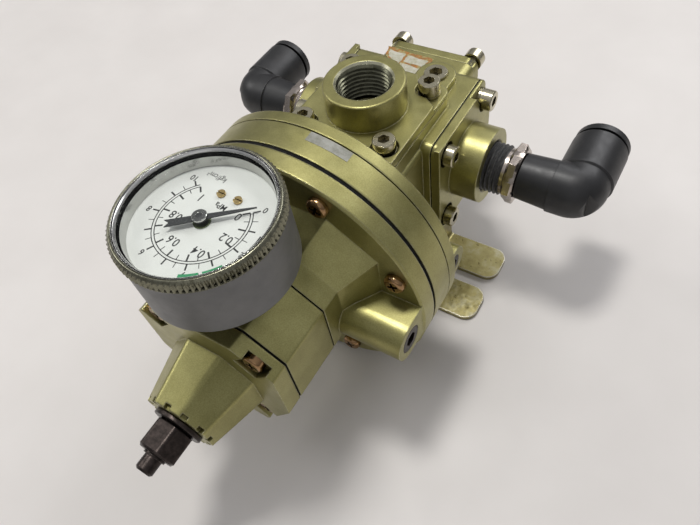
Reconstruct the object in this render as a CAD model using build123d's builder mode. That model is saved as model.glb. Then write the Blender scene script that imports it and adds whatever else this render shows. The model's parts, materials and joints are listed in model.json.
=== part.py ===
"""Pilot-operated air pressure regulator with gauge, two push-in elbows and a foot bracket.

Frame: the origin is the centre of the foot bracket's underside. +Z is up, out of the outlet port.
The main axis (adjusting screw, diaphragm, valve spindle) runs along Y at height AXIS_H: the
adjusting screw is at the front (-Y) and the rear cover at the back (+Y). +X is the supply side.
"""
import os
from math import atan2, cos, degrees, radians, sin

from build123d import *

os.makedirs("parts", exist_ok=True)

# ---------------------------------------------------------------- driving dimensions, mm
AXIS_H = 57.0            # main axis above the mounting plane

# Port flanges: three equal ones, for outlet (top), supply (+X) and exhaust (-X)
SIDE_PORT_Y = 19.5       # side ports' axis, behind the outlet port's axis
PAD_W = 47.4             # square pads and flanges
PAD_FACE = 28.3          # pad face from the main axis
GASKET_T = 0.5
SEAT_W = 30.2            # screw seat from the main axis
PLATE_W = 32.5           # flange plate's outer face
BOSS_W = 44.0            # port boss's end face
BOSS_R = 15.7
PORT_R = 10.48           # G 1/2 thread, major radius
PORT_CHAMFER = 0.9
FLANGE_PITCH = 35.0      # screws on a square
POCKET_R = 5.3           # clearance round each screw head
PASSAGE_R = 9.0

# M5 socket head cap screws
SCREW_R = 2.45
SCREW_HOLE_R = 2.5
HEAD_R = 4.25
HEAD_H = 5.0
HEX_KEY_AF = 4.0
WASHER_T = 1.3

# Valve body
CORE_W = 50.4
CORE_H = 45.0
REAR_W = 42.0
REAR_H = 41.0
BODY_REAR_Y = 52.0
CORE_REAR_Y = 34.0
BORE_R = 13.0
BORE_FRONT_Y = -30.0
SEAT_RING_Y = 9.0        # nearer face of each seat ring, from the outlet axis
SEAT_RING_T = 3.0
SEAT_HOLE_R = 8.0

# Diaphragm casing
DISC_R = 53.4
CASE_SCREW_CIRCLE = 47.0
CASE_SCREW_COUNT = 8
CASE_SCREW_R = 1.95
CASE_HOLE_R = 2.2
CASE_HEAD_R = 3.8
FRONT_FACE_Y = -58.1
DIAPHRAGM_FRONT_Y = -51.0
DIAPHRAGM_REAR_Y = -49.5
CASE_REAR_Y = -38.6
BODY_FLANGE_REAR_Y = -33.0
BODY_FLANGE_T = 5.4
CHAMBER_R = 38.0

# Spindle and poppets
SPINDLE_R = 3.0
GUIDE_R = 3.05
POPPET_R = 10.0
POPPET_T = 3.0
POPPET_GAP = 0.3

# Pilot section
SECTION_HALF = 28.6      # half width of the pilot section
SECTION_TOP = 29.0       # its top face, above the main axis
SECTION_BOTTOM = -27.5   # its bottom face
TOP_CHAMFER_X = 15.0     # half width of the top face
TOP_CHAMFER_Z = 19.0     # upper end of each side face
LOW_CHAMFER_X = 13.0     # half width of the bottom face
LOW_CHAMFER_Z = -4.5     # lower end of each side face
NECK_FRONT_Y = -79.0
NECK_REAR_Y = -71.0
NECK_FLARE = 1.32        # size of the neck at the casing over its size at the block
BLOCK_REAR_Y = -79.6
BLOCK_FRONT_Y = -100.2
BONNET_REAR_Y = -101.0
BONNET_FLANGE_Y = -107.5
NOSE_Y = -128.7
BONNET_BASE_AF = 34.5
NOSE_AF = 24.6
BONNET_SCREW_R = 2.0
BONNET_HEAD_R = 3.75
BONNET_HEAD_Y = -104.0
SPRING_BORE_R = 11.5
SPRING_BORE_Y = -121.0

# Adjusting screw, M8 x 1.25
ADJUST_R = 3.95
ADJUST_HOLE_R = 4.03
DOG_R = 3.15
ADJUST_TIP_Y = -147.0
ADJUST_SEAT_Y = -118.6
NUT_AF = 13.0
NUT_FRONT_Y = -141.0
NUT_REAR_Y = -130.6
LOCK_WASHER_R = 9.0

# Pressure gauge, 50 mm size
GAUGE_Y = -87.0
GAUGE_CASE_R = 25.0
GAUGE_CASE_Z = 38.2      # all gauge heights are from the main axis
GAUGE_CASE_TOP_Z = 60.2
GAUGE_WALL = 1.3
BEZEL_R = 25.6
BEZEL_TOP_Z = 64.2
DIAL_R = 22.6
DIAL_Z = 58.0
POINTER_Z = 59.6
LENS_Z = 61.6
ARBOR_R = 0.8
HAND_Z = 60.3            # of the green limit hands, just under the lens
HAND_IN_R = 20.0
HAND_OUT_R = 21.8
HAND_SPAN = 15.5         # degrees
ZERO_ANGLE = 38.0        # of the zero mark, from +X towards +Y

# Push-in elbows, R 1/2 thread and 12 mm tube
NIPPLE_R = 10.4
NIPPLE_AF = 22.0
NIPPLE_IN_W = 34.0
NIPPLE_NECK_R = 9.6
THREAD_END_W = 50.9
HEX_W = 52.6
HEX_T = 4.4
SPIGOT_R = 6.8
SPIGOT_END_W = 70.0
ELBOW_CORNER_W = 79.8
ELBOW_LEG_R = 10.1
ELBOW_BEND_R = 10.6
BARREL_R = 11.3
BARREL_START_Y = 25.5
BARREL_END_Y = 44.8
TUBE_R = 6.15            # bore for a 12 mm tube
TUBE_STOP_Y = 30.0
SEAL_Y = 33.0
CORNER_ROUND = 7.0       # rounding of the bend's outer corner, seen from above
COLLAR_GAP = 1.0
COLLAR_RIM = 3.2
FITTING_OUT = {"supply": 0.0, "exhaust": -2.5}  # how much further out each nipple stands

# Foot bracket
PLATE_T = 2.2
BRACKET_HALF_Y = 21.0
BRACKET_HALF_X = 56.0
BRACKET_WEB_X = 26.2
SLOT_W = 6.5
SLOT_ROOT_X = 34.0

# ---------------------------------------------------------------- shared planes and profiles
GAUGE_AXIS = Axis((0, GAUGE_Y, 0), (0, 0, 1))
BONNET_SCREWS = [(20.0, 20.8), (14.5, -18.5), (-14.5, -18.5), (-20.0, 20.8)]


def across(y):
    """Plane square to the main axis at y: extrusions run towards the front, -Y."""
    return Plane(origin=(0, y, AXIS_H), x_dir=(1, 0, 0), z_dir=(0, -1, 0))


def behind(y):
    """Plane square to the main axis at y, facing the rear, +Y."""
    return Plane(origin=(0, y, AXIS_H), x_dir=(-1, 0, 0), z_dir=(0, 1, 0))


def port_plane(port, distance):
    """Plane square to a port's axis, `distance` from the main axis, facing out of the port."""
    if port == "outlet":
        return Plane(origin=(0, 0, AXIS_H + distance), x_dir=(1, 0, 0), z_dir=(0, 0, 1))
    side = 1 if port == "supply" else -1
    return Plane(
        origin=(side * distance, SIDE_PORT_Y, AXIS_H), x_dir=(0, side, 0), z_dir=(side, 0, 0)
    )


def level(height):
    """Horizontal plane at a height above the main axis, facing up."""
    return Plane.XY.offset(AXIS_H + height)


def gauge_level(height):
    """Horizontal plane centred on the gauge, at a height above the main axis."""
    return Plane(origin=(0, GAUGE_Y, AXIS_H + height), x_dir=(1, 0, 0), z_dir=(0, 0, 1))


def section_points(scale=1.0):
    """Corners of the pilot section: a block with long chamfers, scaled about the main axis."""
    right = [
        (TOP_CHAMFER_X, SECTION_TOP), (SECTION_HALF, TOP_CHAMFER_Z),
        (SECTION_HALF, LOW_CHAMFER_Z), (LOW_CHAMFER_X, SECTION_BOTTOM),
    ]
    left = [(-x, z) for x, z in reversed(right)]
    return [(scale * x, scale * z) for x, z in right + left]


def save(part, label):
    """Label a finished piece and write it as its own STEP file."""
    part.part.label = label
    export_step(part.part, f"parts/{label}.step")


# ---------------------------------------------------------------- valve body
with BuildPart() as valve_body:
    with BuildSketch(across(CORE_REAR_Y)):
        RectangleRounded(CORE_W, CORE_H, 3)
    extrude(amount=CORE_REAR_Y - BODY_FLANGE_REAR_Y)
    with BuildSketch(across(BODY_REAR_Y)):
        RectangleRounded(REAR_W, REAR_H, 4.3)
    extrude(amount=BODY_REAR_Y - SIDE_PORT_Y)
    with BuildSketch(across(BODY_FLANGE_REAR_Y)):
        Circle(DISC_R)
    extrude(amount=BODY_FLANGE_T)
    chamfer(valve_body.edges().filter_by(GeomType.CIRCLE).group_by(
        SortBy.RADIUS)[-1].sort_by(Axis.Y)[-1], 0.8)
    for pad_port in ("outlet", "supply", "exhaust"):
        with BuildSketch(port_plane(pad_port, PAD_FACE)):
            RectangleRounded(PAD_W, PAD_W, 4)
        extrude(amount=-12)
    with BuildSketch(level(-PAD_FACE)):
        RectangleRounded(PAD_W, PAD_W, 4)
    extrude(amount=12)
    # raised pad of the top plug, run out from the outlet pad
    with BuildSketch(level(27)):
        with Locations((12.5, 33)):
            Circle(8)
        with Locations((12.5, 27)):
            Rectangle(16, 12)
    extrude(amount=-10)
    # boss of the sensing port, on the supply side behind the casing
    with BuildSketch(Plane(origin=(52, 0, AXIS_H), x_dir=(0, 1, 0), z_dir=(1, 0, 0))):
        with Locations((-31, 0)):
            Circle(6.5)
        with Locations((-34, 0)):
            Rectangle(6, 13)
    extrude(amount=-30)
    # bore for seats and poppets, open at the rear, and the spindle's guide
    with BuildSketch(across(BODY_REAR_Y)):
        Circle(BORE_R)
    extrude(amount=BODY_REAR_Y - BORE_FRONT_Y, mode=Mode.SUBTRACT)
    with BuildSketch(across(BORE_FRONT_Y)):
        Circle(GUIDE_R)
    extrude(amount=12, mode=Mode.SUBTRACT)
    # air passages from the outlet and supply pads into the bore
    for passage_port in ("outlet", "supply"):
        with BuildSketch(port_plane(passage_port, PAD_FACE)):
            Circle(PASSAGE_R)
        extrude(amount=-PAD_FACE, mode=Mode.SUBTRACT)
    # the exhaust pad opens into a gallery that runs forward to the exhaust chamber
    with BuildSketch(port_plane("exhaust", PAD_FACE)):
        Circle(PASSAGE_R)
    extrude(amount=-9, mode=Mode.SUBTRACT)
    with BuildSketch(across(24)):
        with Locations((-19.2, 0)):
            Circle(4.3)
    extrude(amount=45, mode=Mode.SUBTRACT)
    with BuildSketch(Plane(origin=(-19.2, -17, AXIS_H), x_dir=(0, 1, 0), z_dir=(1, 0, 0))):
        Circle(4)
    extrude(amount=12, mode=Mode.SUBTRACT)
    # threaded holes for every screw that enters the body
    for screwed_port in ("outlet", "supply", "exhaust"):
        with BuildSketch(port_plane(screwed_port, PAD_FACE)):
            with GridLocations(FLANGE_PITCH, FLANGE_PITCH, 2, 2):
                Circle(SCREW_HOLE_R)
        extrude(amount=-9, mode=Mode.SUBTRACT)
    with BuildSketch(level(-PAD_FACE)):
        with GridLocations(FLANGE_PITCH, FLANGE_PITCH, 2, 2):
            Circle(SCREW_HOLE_R)
    extrude(amount=9, mode=Mode.SUBTRACT)
    with BuildSketch(across(BODY_REAR_Y)):
        with GridLocations(FLANGE_PITCH, FLANGE_PITCH, 2, 2):
            Circle(SCREW_HOLE_R)
    extrude(amount=11, mode=Mode.SUBTRACT)
    with BuildSketch(across(BODY_FLANGE_REAR_Y - 1.5)):
        with PolarLocations(CASE_SCREW_CIRCLE, CASE_SCREW_COUNT, start_angle=22.5):
            Circle(CASE_SCREW_R + 0.05)
    extrude(amount=8, mode=Mode.SUBTRACT)
    # plug holes
    with BuildSketch(level(27)):
        with Locations((12.5, 33)):
            Circle(4.86)
    extrude(amount=-7, mode=Mode.SUBTRACT)
    with BuildSketch(Plane(origin=(52, -32, AXIS_H), x_dir=(0, 1, 0), z_dir=(1, 0, 0))):
        Circle(4.1)
    extrude(amount=-6, mode=Mode.SUBTRACT)
save(valve_body, "valve_body")

with BuildPart() as rear_cover:
    with BuildSketch(across(BODY_REAR_Y + 5)):
        RectangleRounded(REAR_W, REAR_H, 4.3)
    extrude(amount=5)
    chamfer(rear_cover.faces().sort_by(Axis.Y)[-1].edges(), 0.8)
    with BuildSketch(across(BODY_REAR_Y)):
        Circle(BORE_R - 0.1)
    extrude(amount=2.5)
    with BuildSketch(across(BODY_REAR_Y - 0.4)):
        Circle(BORE_R)
        Circle(BORE_R - 1.6, mode=Mode.SUBTRACT)
    extrude(amount=1.4, mode=Mode.SUBTRACT)
    with BuildSketch(across(BODY_REAR_Y + 5)):
        with GridLocations(FLANGE_PITCH, FLANGE_PITCH, 2, 2):
            Circle(SCREW_HOLE_R + 0.25)
    extrude(amount=5, mode=Mode.SUBTRACT)
save(rear_cover, "rear_cover")


# ---------------------------------------------------------------- port flanges and their screws
def port_flange(port):
    """A square flange with a threaded boss; its corners are cut back round the screw heads."""
    with BuildPart() as flange:
        with BuildSketch(port_plane(port, PAD_FACE + GASKET_T)):
            RectangleRounded(PAD_W, PAD_W, 4)
        extrude(amount=SEAT_W - PAD_FACE - GASKET_T)
        with BuildSketch(port_plane(port, SEAT_W)):
            Rectangle(PAD_W, PAD_W)
            half = FLANGE_PITCH / 2
            inner = half - POCKET_R + 0.2
            for turn in range(4):
                with Locations(Rotation(0, 0, 90 * turn)):
                    with BuildLine():
                        Polyline(
                            (PAD_W / 2, 9), (half + 1.1, inner), (inner, half + 1.1),
                            (9, PAD_W / 2), (PAD_W, PAD_W), close=True,
                        )
                    make_face(mode=Mode.SUBTRACT)
            with GridLocations(FLANGE_PITCH, FLANGE_PITCH, 2, 2):
                Circle(POCKET_R, mode=Mode.SUBTRACT)
        extrude(amount=PLATE_W - SEAT_W)
        with BuildSketch(port_plane(port, PLATE_W)):
            Circle(BOSS_R)
        extrude(amount=BOSS_W - PLATE_W)
        fillet(flange.edges().filter_by(GeomType.CIRCLE).sort_by(
            lambda edge: (edge.center() - Vector(0, 0, AXIS_H)).length
        )[-1], 0.8)
        with BuildSketch(port_plane(port, PAD_FACE)):
            Circle(PORT_R)
        extrude(amount=BOSS_W - PAD_FACE, mode=Mode.SUBTRACT)
        with BuildSketch(port_plane(port, BOSS_W)):
            Circle(PORT_R + PORT_CHAMFER)
        with BuildSketch(port_plane(port, BOSS_W - PORT_CHAMFER)):
            Circle(PORT_R)
        loft(mode=Mode.SUBTRACT)
        with BuildSketch(port_plane(port, PAD_FACE)):
            with GridLocations(FLANGE_PITCH, FLANGE_PITCH, 2, 2):
                Circle(SCREW_HOLE_R + 0.25)
        extrude(amount=SEAT_W - PAD_FACE, mode=Mode.SUBTRACT)
    return flange


def socket_screws(plane, length):
    """Four socket head cap screws on the flange square, heads standing on the plane."""
    with BuildPart() as screws:
        with BuildSketch(plane):
            with GridLocations(FLANGE_PITCH, FLANGE_PITCH, 2, 2):
                Circle(HEAD_R)
        extrude(amount=HEAD_H)
        chamfer(screws.edges().filter_by(GeomType.CIRCLE).group_by(
            lambda edge: plane.to_local_coords(edge.center()).Z
        )[-1], 0.4)
        with BuildSketch(plane):
            with GridLocations(FLANGE_PITCH, FLANGE_PITCH, 2, 2):
                Circle(SCREW_R)
        extrude(amount=-length)
        with BuildSketch(plane.offset(HEAD_H)):
            with GridLocations(FLANGE_PITCH, FLANGE_PITCH, 2, 2):
                RegularPolygon(HEX_KEY_AF / 2, 6, major_radius=False)
        extrude(amount=-2.8, mode=Mode.SUBTRACT)
    return screws


for port_name in ("outlet", "supply", "exhaust"):
    save(port_flange(port_name), f"{port_name}_flange")
    save(
        socket_screws(port_plane(port_name, SEAT_W + WASHER_T), 11.5),
        f"{port_name}_flange_screws",
    )

save(socket_screws(behind(BODY_REAR_Y + 5), 15), "rear_cover_screws")

with BuildPart() as body_seals:
    for gasket_port in ("outlet", "supply", "exhaust"):
        with BuildSketch(port_plane(gasket_port, PAD_FACE)):
            RectangleRounded(PAD_W - 0.6, PAD_W - 0.6, 3.7)
            Circle(PORT_R + 0.6, mode=Mode.SUBTRACT)
            with GridLocations(FLANGE_PITCH, FLANGE_PITCH, 2, 2):
                Circle(SCREW_HOLE_R + 0.25, mode=Mode.SUBTRACT)
        extrude(amount=GASKET_T)
    # the rear cover's ring seal
    with BuildSketch(across(BODY_REAR_Y - 0.45)):
        Circle(BORE_R - 0.02)
        Circle(BORE_R - 1.55, mode=Mode.SUBTRACT)
    extrude(amount=1.3)
save(body_seals, "body_seals")

with BuildPart() as spring_washers:
    for washer_port in ("outlet", "supply", "exhaust"):
        with BuildSketch(port_plane(washer_port, SEAT_W)):
            with GridLocations(FLANGE_PITCH, FLANGE_PITCH, 2, 2):
                Circle(HEAD_R + 0.2)
                Circle(SCREW_HOLE_R + 0.1, mode=Mode.SUBTRACT)
        extrude(amount=WASHER_T)
save(spring_washers, "spring_washers")

# ---------------------------------------------------------------- foot bracket
with BuildPart() as foot_bracket:
    top_z = AXIS_H - PAD_FACE
    web_x = BRACKET_WEB_X - PLATE_T / 2
    with BuildSketch(Plane.XZ.offset(-BRACKET_HALF_Y)):
        with BuildLine():
            FilletPolyline(
                (-BRACKET_HALF_X, PLATE_T / 2), (-web_x, PLATE_T / 2),
                (-web_x, top_z - PLATE_T / 2), (web_x, top_z - PLATE_T / 2),
                (web_x, PLATE_T / 2), (BRACKET_HALF_X, PLATE_T / 2),
                radius=2.6,
            )
        trace(line_width=PLATE_T)
    extrude(amount=2 * BRACKET_HALF_Y)
    # plan outline: rounded fingers either side of an open slot in each tab
    with BuildSketch(Plane.XY):
        Rectangle(2 * BRACKET_HALF_X, 2 * BRACKET_HALF_Y)
        with Locations((SLOT_ROOT_X, 0), (-SLOT_ROOT_X, 0)):
            Circle(SLOT_W / 2, mode=Mode.SUBTRACT)
        with Locations((SLOT_ROOT_X + 15, 0), (-SLOT_ROOT_X - 15, 0)):
            Rectangle(30, SLOT_W, mode=Mode.SUBTRACT)
        fillet(vertices().group_by(lambda corner: round(abs(corner.X), 2))[-1], 6)
    extrude(amount=top_z, mode=Mode.INTERSECT)
    with BuildSketch(level(-PAD_FACE)):
        with GridLocations(FLANGE_PITCH, FLANGE_PITCH, 2, 2):
            Circle(SCREW_HOLE_R + 0.25)
    extrude(amount=-PLATE_T, mode=Mode.SUBTRACT)
save(foot_bracket, "foot_bracket")

BRACKET_SCREW_PLANE = Plane(
    origin=(0, 0, AXIS_H - PAD_FACE - PLATE_T), x_dir=(1, 0, 0), z_dir=(0, 0, -1)
)
save(socket_screws(BRACKET_SCREW_PLANE, 10), "bracket_screws")

# ---------------------------------------------------------------- plugs
def socket_plug(plane, radius, key_af, length, head_r=0.0, head_t=0.0):
    """A threaded plug with a hexagon socket, flush with the plane or with a thin head on it."""
    with BuildPart() as plug:
        with BuildSketch(plane):
            Circle(radius)
        extrude(amount=-length)
        if head_r:
            with BuildSketch(plane):
                Circle(head_r)
            extrude(amount=head_t)
        chamfer(plug.edges().filter_by(GeomType.CIRCLE).sort_by(
            lambda edge: plane.to_local_coords(edge.center()).Z
        )[-1], 0.3)
        with BuildSketch(plane.offset(head_t)):
            RegularPolygon(key_af / 2, 6, major_radius=False)
        extrude(amount=-3.2, mode=Mode.SUBTRACT)
    return plug


TOP_PLUG_PLANE = Plane(origin=(12.5, 33, AXIS_H + 27), x_dir=(1, 0, 0), z_dir=(0, 0, 1))
PILOT_PLUG_PLANE = Plane(origin=(52.5, -66.5, AXIS_H), x_dir=(0, 1, 0), z_dir=(1, 0, 0))
SENSE_PLUG_PLANE = Plane(origin=(52, -32, AXIS_H), x_dir=(0, 1, 0), z_dir=(1, 0, 0))
save(socket_plug(TOP_PLUG_PLANE, 4.8, 5.0, 6.5, head_r=4.84, head_t=1.2), "top_plug")
save(socket_plug(PILOT_PLUG_PLANE, 5.2, 5.0, 6.5), "pilot_port_plug")
save(socket_plug(SENSE_PLUG_PLANE, 4.05, 4.0, 5.5), "sensing_port_plug")

# ---------------------------------------------------------------- diaphragm casing
with BuildPart() as rear_diaphragm_case:
    with BuildSketch(across(CASE_REAR_Y)):
        Circle(DISC_R)
    extrude(amount=CASE_REAR_Y - DIAPHRAGM_REAR_Y)
    chamfer(rear_diaphragm_case.edges().filter_by(GeomType.CIRCLE).sort_by(Axis.Y)[-1], 0.4)
    with BuildSketch(across(DIAPHRAGM_REAR_Y + 7.5)):
        Circle(CHAMBER_R)
    extrude(amount=7.5, mode=Mode.SUBTRACT)
    with BuildSketch(across(CASE_REAR_Y)):
        Circle(GUIDE_R)
        with PolarLocations(CASE_SCREW_CIRCLE, CASE_SCREW_COUNT, start_angle=22.5):
            Circle(CASE_HOLE_R)
    extrude(amount=CASE_REAR_Y - DIAPHRAGM_REAR_Y, mode=Mode.SUBTRACT)
save(rear_diaphragm_case, "rear_diaphragm_case")

with BuildPart() as front_diaphragm_case:
    with BuildSketch(across(DIAPHRAGM_FRONT_Y)):
        Circle(DISC_R)
    extrude(amount=DIAPHRAGM_FRONT_Y - FRONT_FACE_Y)
    chamfer(front_diaphragm_case.edges().filter_by(GeomType.CIRCLE).sort_by(Axis.Y)[0], 0.8)
    # flared neck towards the pilot section
    with BuildSketch(across(FRONT_FACE_Y + 1)):
        Polygon(*section_points(NECK_FLARE), align=None)
    with BuildSketch(across(NECK_REAR_Y)):
        Polygon(*section_points(), align=None)
    loft()
    with BuildSketch(across(NECK_REAR_Y)):
        Polygon(*section_points(), align=None)
    extrude(amount=NECK_REAR_Y - NECK_FRONT_Y)
    # boss of the pilot port, on the supply side
    with BuildSketch(Plane(origin=(52.5, 0, AXIS_H), x_dir=(0, 1, 0), z_dir=(1, 0, 0))):
        with Locations((-66.5, 0)):
            Circle(8.2)
        with Locations((-61.5, 0)):
            Rectangle(10, 16.4)
    extrude(amount=-32)
    with BuildSketch(across(-55.6)):
        Circle(12)
    extrude(amount=10.4, mode=Mode.SUBTRACT)
    with BuildSketch(across(DIAPHRAGM_FRONT_Y)):
        Circle(CHAMBER_R)
    extrude(amount=4.6, mode=Mode.SUBTRACT)
    with BuildSketch(across(DIAPHRAGM_FRONT_Y)):
        with PolarLocations(CASE_SCREW_CIRCLE, CASE_SCREW_COUNT, start_angle=22.5):
            Circle(CASE_HOLE_R)
    extrude(amount=8, mode=Mode.SUBTRACT)
    with BuildSketch(across(-66)):
        Circle(2.6)
    extrude(amount=13, mode=Mode.SUBTRACT)
    with BuildSketch(across(-69.5)):
        with Locations(*BONNET_SCREWS):
            Circle(BONNET_SCREW_R + 0.05)
    extrude(amount=9.5, mode=Mode.SUBTRACT)
    with BuildSketch(PILOT_PLUG_PLANE):
        Circle(5.25)
    extrude(amount=-7, mode=Mode.SUBTRACT)
save(front_diaphragm_case, "front_diaphragm_case")

with BuildPart() as main_diaphragm:
    with BuildSketch(across(DIAPHRAGM_REAR_Y)):
        Circle(DISC_R - 0.4)
        Circle(30.3, mode=Mode.SUBTRACT)
        with PolarLocations(CASE_SCREW_CIRCLE, CASE_SCREW_COUNT, start_angle=22.5):
            Circle(CASE_HOLE_R, mode=Mode.SUBTRACT)
    extrude(amount=DIAPHRAGM_REAR_Y - DIAPHRAGM_FRONT_Y)
save(main_diaphragm, "main_diaphragm")

with BuildPart() as case_screws:
    with BuildSketch(across(BODY_FLANGE_REAR_Y - 2)):
        with PolarLocations(CASE_SCREW_CIRCLE, CASE_SCREW_COUNT, start_angle=22.5):
            Circle(CASE_SCREW_R)
    extrude(amount=BODY_FLANGE_REAR_Y - 2 - FRONT_FACE_Y)
    with BuildSketch(across(FRONT_FACE_Y)):
        with PolarLocations(CASE_SCREW_CIRCLE, CASE_SCREW_COUNT, start_angle=22.5):
            Circle(CASE_HEAD_R)
    extrude(amount=2.7)
    fillet(case_screws.edges().filter_by(GeomType.CIRCLE).group_by(Axis.Y)[0], 1.5)
    with BuildSketch(across(FRONT_FACE_Y - 2.7)):
        with PolarLocations(CASE_SCREW_CIRCLE, CASE_SCREW_COUNT, start_angle=22.5):
            Rectangle(4.2, 1.0)
            Rectangle(1.0, 4.2)
    extrude(amount=-1.7, mode=Mode.SUBTRACT)
save(case_screws, "case_screws")

# ---------------------------------------------------------------- spindle, seats and poppets
with BuildPart() as diaphragm_centre:
    with BuildSketch(across(DIAPHRAGM_REAR_Y)):
        Circle(29.9)
        Circle(SPINDLE_R + 0.05, mode=Mode.SUBTRACT)
    extrude(amount=DIAPHRAGM_REAR_Y - DIAPHRAGM_FRONT_Y)
save(diaphragm_centre, "diaphragm_centre")

with BuildPart() as diaphragm_plates:
    with BuildSketch(across(DIAPHRAGM_REAR_Y + 2)):
        Circle(28)
        Circle(SPINDLE_R + 0.05, mode=Mode.SUBTRACT)
    extrude(amount=2)
    with BuildSketch(across(DIAPHRAGM_FRONT_Y)):
        Circle(28)
        Circle(SPINDLE_R + 0.05, mode=Mode.SUBTRACT)
    extrude(amount=2)
save(diaphragm_plates, "diaphragm_plates")

with BuildPart() as spindle:
    with BuildSketch(across(20)):
        Circle(SPINDLE_R)
    extrude(amount=20 + 57)
    with BuildSketch(across(DIAPHRAGM_REAR_Y + 4)):
        Circle(6)
    extrude(amount=2)
    chamfer(spindle.edges().filter_by(GeomType.CIRCLE).sort_by(Axis.Y)[-1], 0.6)
    chamfer(spindle.edges().filter_by(GeomType.CIRCLE).sort_by(Axis.Y)[0], 0.6)
save(spindle, "spindle")

with BuildPart() as spindle_nut:
    with BuildSketch(across(DIAPHRAGM_FRONT_Y - 2)):
        RegularPolygon(5, 6, major_radius=False)
        Circle(SPINDLE_R + 0.05, mode=Mode.SUBTRACT)
    extrude(amount=3)
save(spindle_nut, "spindle_nut")


SUPPLY_SEAT_Y = SEAT_RING_Y + SEAT_RING_T
EXHAUST_SEAT_Y = -SEAT_RING_Y - SEAT_RING_T
with BuildPart() as valve_seats:
    for seat_rear_y in (SUPPLY_SEAT_Y, -SEAT_RING_Y):
        with BuildSketch(across(seat_rear_y)):
            Circle(BORE_R - 0.02)
            Circle(SEAT_HOLE_R, mode=Mode.SUBTRACT)
        extrude(amount=SEAT_RING_T)
save(valve_seats, "valve_seats")


def poppet(near_face, bore_r, hub_from):
    """A flat valve disc on a hub, both bored for the spindle."""
    with BuildPart() as disc:
        with BuildSketch(across(near_face + POPPET_T)):
            Circle(POPPET_R)
        extrude(amount=POPPET_T)
        with BuildSketch(across(hub_from + 2.5)):
            Circle(4.8)
        extrude(amount=2.5)
        with BuildSketch(across(near_face + POPPET_T + 3)):
            Circle(bore_r)
        extrude(amount=POPPET_T + 6, mode=Mode.SUBTRACT)
    return disc


SUPPLY_POPPET_Y = SUPPLY_SEAT_Y + POPPET_GAP
EXHAUST_POPPET_Y = EXHAUST_SEAT_Y - POPPET_GAP - POPPET_T
save(poppet(SUPPLY_POPPET_Y, SPINDLE_R + 0.02, SUPPLY_POPPET_Y + POPPET_T), "supply_poppet")
save(poppet(EXHAUST_POPPET_Y, GUIDE_R, EXHAUST_POPPET_Y - 2.5), "exhaust_poppet")


def coil_spring(front, rear, mean_r, wire_r, turns):
    """A round-wire compression spring on the main axis between two y positions."""
    with BuildPart() as coil:
        with BuildLine() as path:
            Helix(
                pitch=(rear - front - 2 * wire_r) / turns,
                height=rear - front - 2 * wire_r,
                radius=mean_r,
                center=(0, front + wire_r, AXIS_H),
                direction=(0, 1, 0),
            )
        with BuildSketch(Plane(origin=path.line @ 0, z_dir=path.line % 0)):
            Circle(wire_r)
        sweep(is_frenet=True)
    return coil


SUPPLY_SPRING_FRONT = SUPPLY_POPPET_Y + POPPET_T + 0.2
EXHAUST_SPRING_REAR = EXHAUST_POPPET_Y - 0.2
save(coil_spring(SUPPLY_SPRING_FRONT, BODY_REAR_Y - 2.7, 7.0, 0.6, 7), "supply_spring")
save(coil_spring(BORE_FRONT_Y + 0.2, EXHAUST_SPRING_REAR, 7.0, 0.6, 4), "exhaust_spring")

# ---------------------------------------------------------------- pilot section
with BuildPart() as block_gasket:
    with BuildSketch(across(BLOCK_REAR_Y + 0.6)):
        Polygon(*section_points(0.985), align=None)
        Circle(2.6, mode=Mode.SUBTRACT)
        with Locations(*BONNET_SCREWS):
            Circle(BONNET_SCREW_R + 0.3, mode=Mode.SUBTRACT)
    extrude(amount=0.6)
save(block_gasket, "block_gasket")

with BuildPart() as gauge_block:
    with BuildSketch(across(BLOCK_REAR_Y)):
        Polygon(*section_points(), align=None)
        with Locations(*BONNET_SCREWS):
            Circle(BONNET_SCREW_R + 0.3, mode=Mode.SUBTRACT)
    extrude(amount=BLOCK_REAR_Y - BLOCK_FRONT_Y)
    fillet(gauge_block.edges().filter_by(Axis.Y).filter_by(
        lambda edge: edge.geom_type == GeomType.LINE and edge.length > 10
        and abs(edge.center().X) > TOP_CHAMFER_X - 3
    ), 1.2)
    with BuildSketch(across(-92)):
        Circle(12)
    extrude(amount=-92 - BLOCK_FRONT_Y, mode=Mode.SUBTRACT)
    with BuildSketch(across(BLOCK_REAR_Y)):
        Circle(2.6)
    extrude(amount=8.7, mode=Mode.SUBTRACT)
    with BuildSketch(across(-88)):
        Circle(1.6)
    extrude(amount=5, mode=Mode.SUBTRACT)
    with BuildSketch(gauge_level(SECTION_TOP)):
        Circle(4.86)
    extrude(amount=-12, mode=Mode.SUBTRACT)
    with BuildSketch(gauge_level(SECTION_TOP)):
        Circle(1.5)
    extrude(amount=1 - SECTION_TOP, mode=Mode.SUBTRACT)
save(gauge_block, "gauge_block")

with BuildPart() as pilot_valve:
    with BuildSketch(across(-83)):
        Circle(2.52)
    extrude(amount=5)
    with BuildSketch(across(-88)):
        Circle(1.2)
    extrude(amount=11.8)
save(pilot_valve, "pilot_valve")

with BuildPart() as pilot_diaphragm:
    with BuildSketch(across(BLOCK_FRONT_Y)):
        Polygon(*section_points(0.985), align=None)
        with Locations(*BONNET_SCREWS):
            Circle(BONNET_SCREW_R + 0.3, mode=Mode.SUBTRACT)
    extrude(amount=BLOCK_FRONT_Y - BONNET_REAR_Y)
save(pilot_diaphragm, "pilot_diaphragm")

with BuildPart() as pilot_plate:
    with BuildSketch(across(BONNET_REAR_Y)):
        Circle(10.4)
    extrude(amount=1.8)
    with BuildSketch(across(BONNET_REAR_Y - 1.8)):
        Circle(6.4)
    extrude(amount=1.6)
save(pilot_plate, "pilot_plate")

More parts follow.
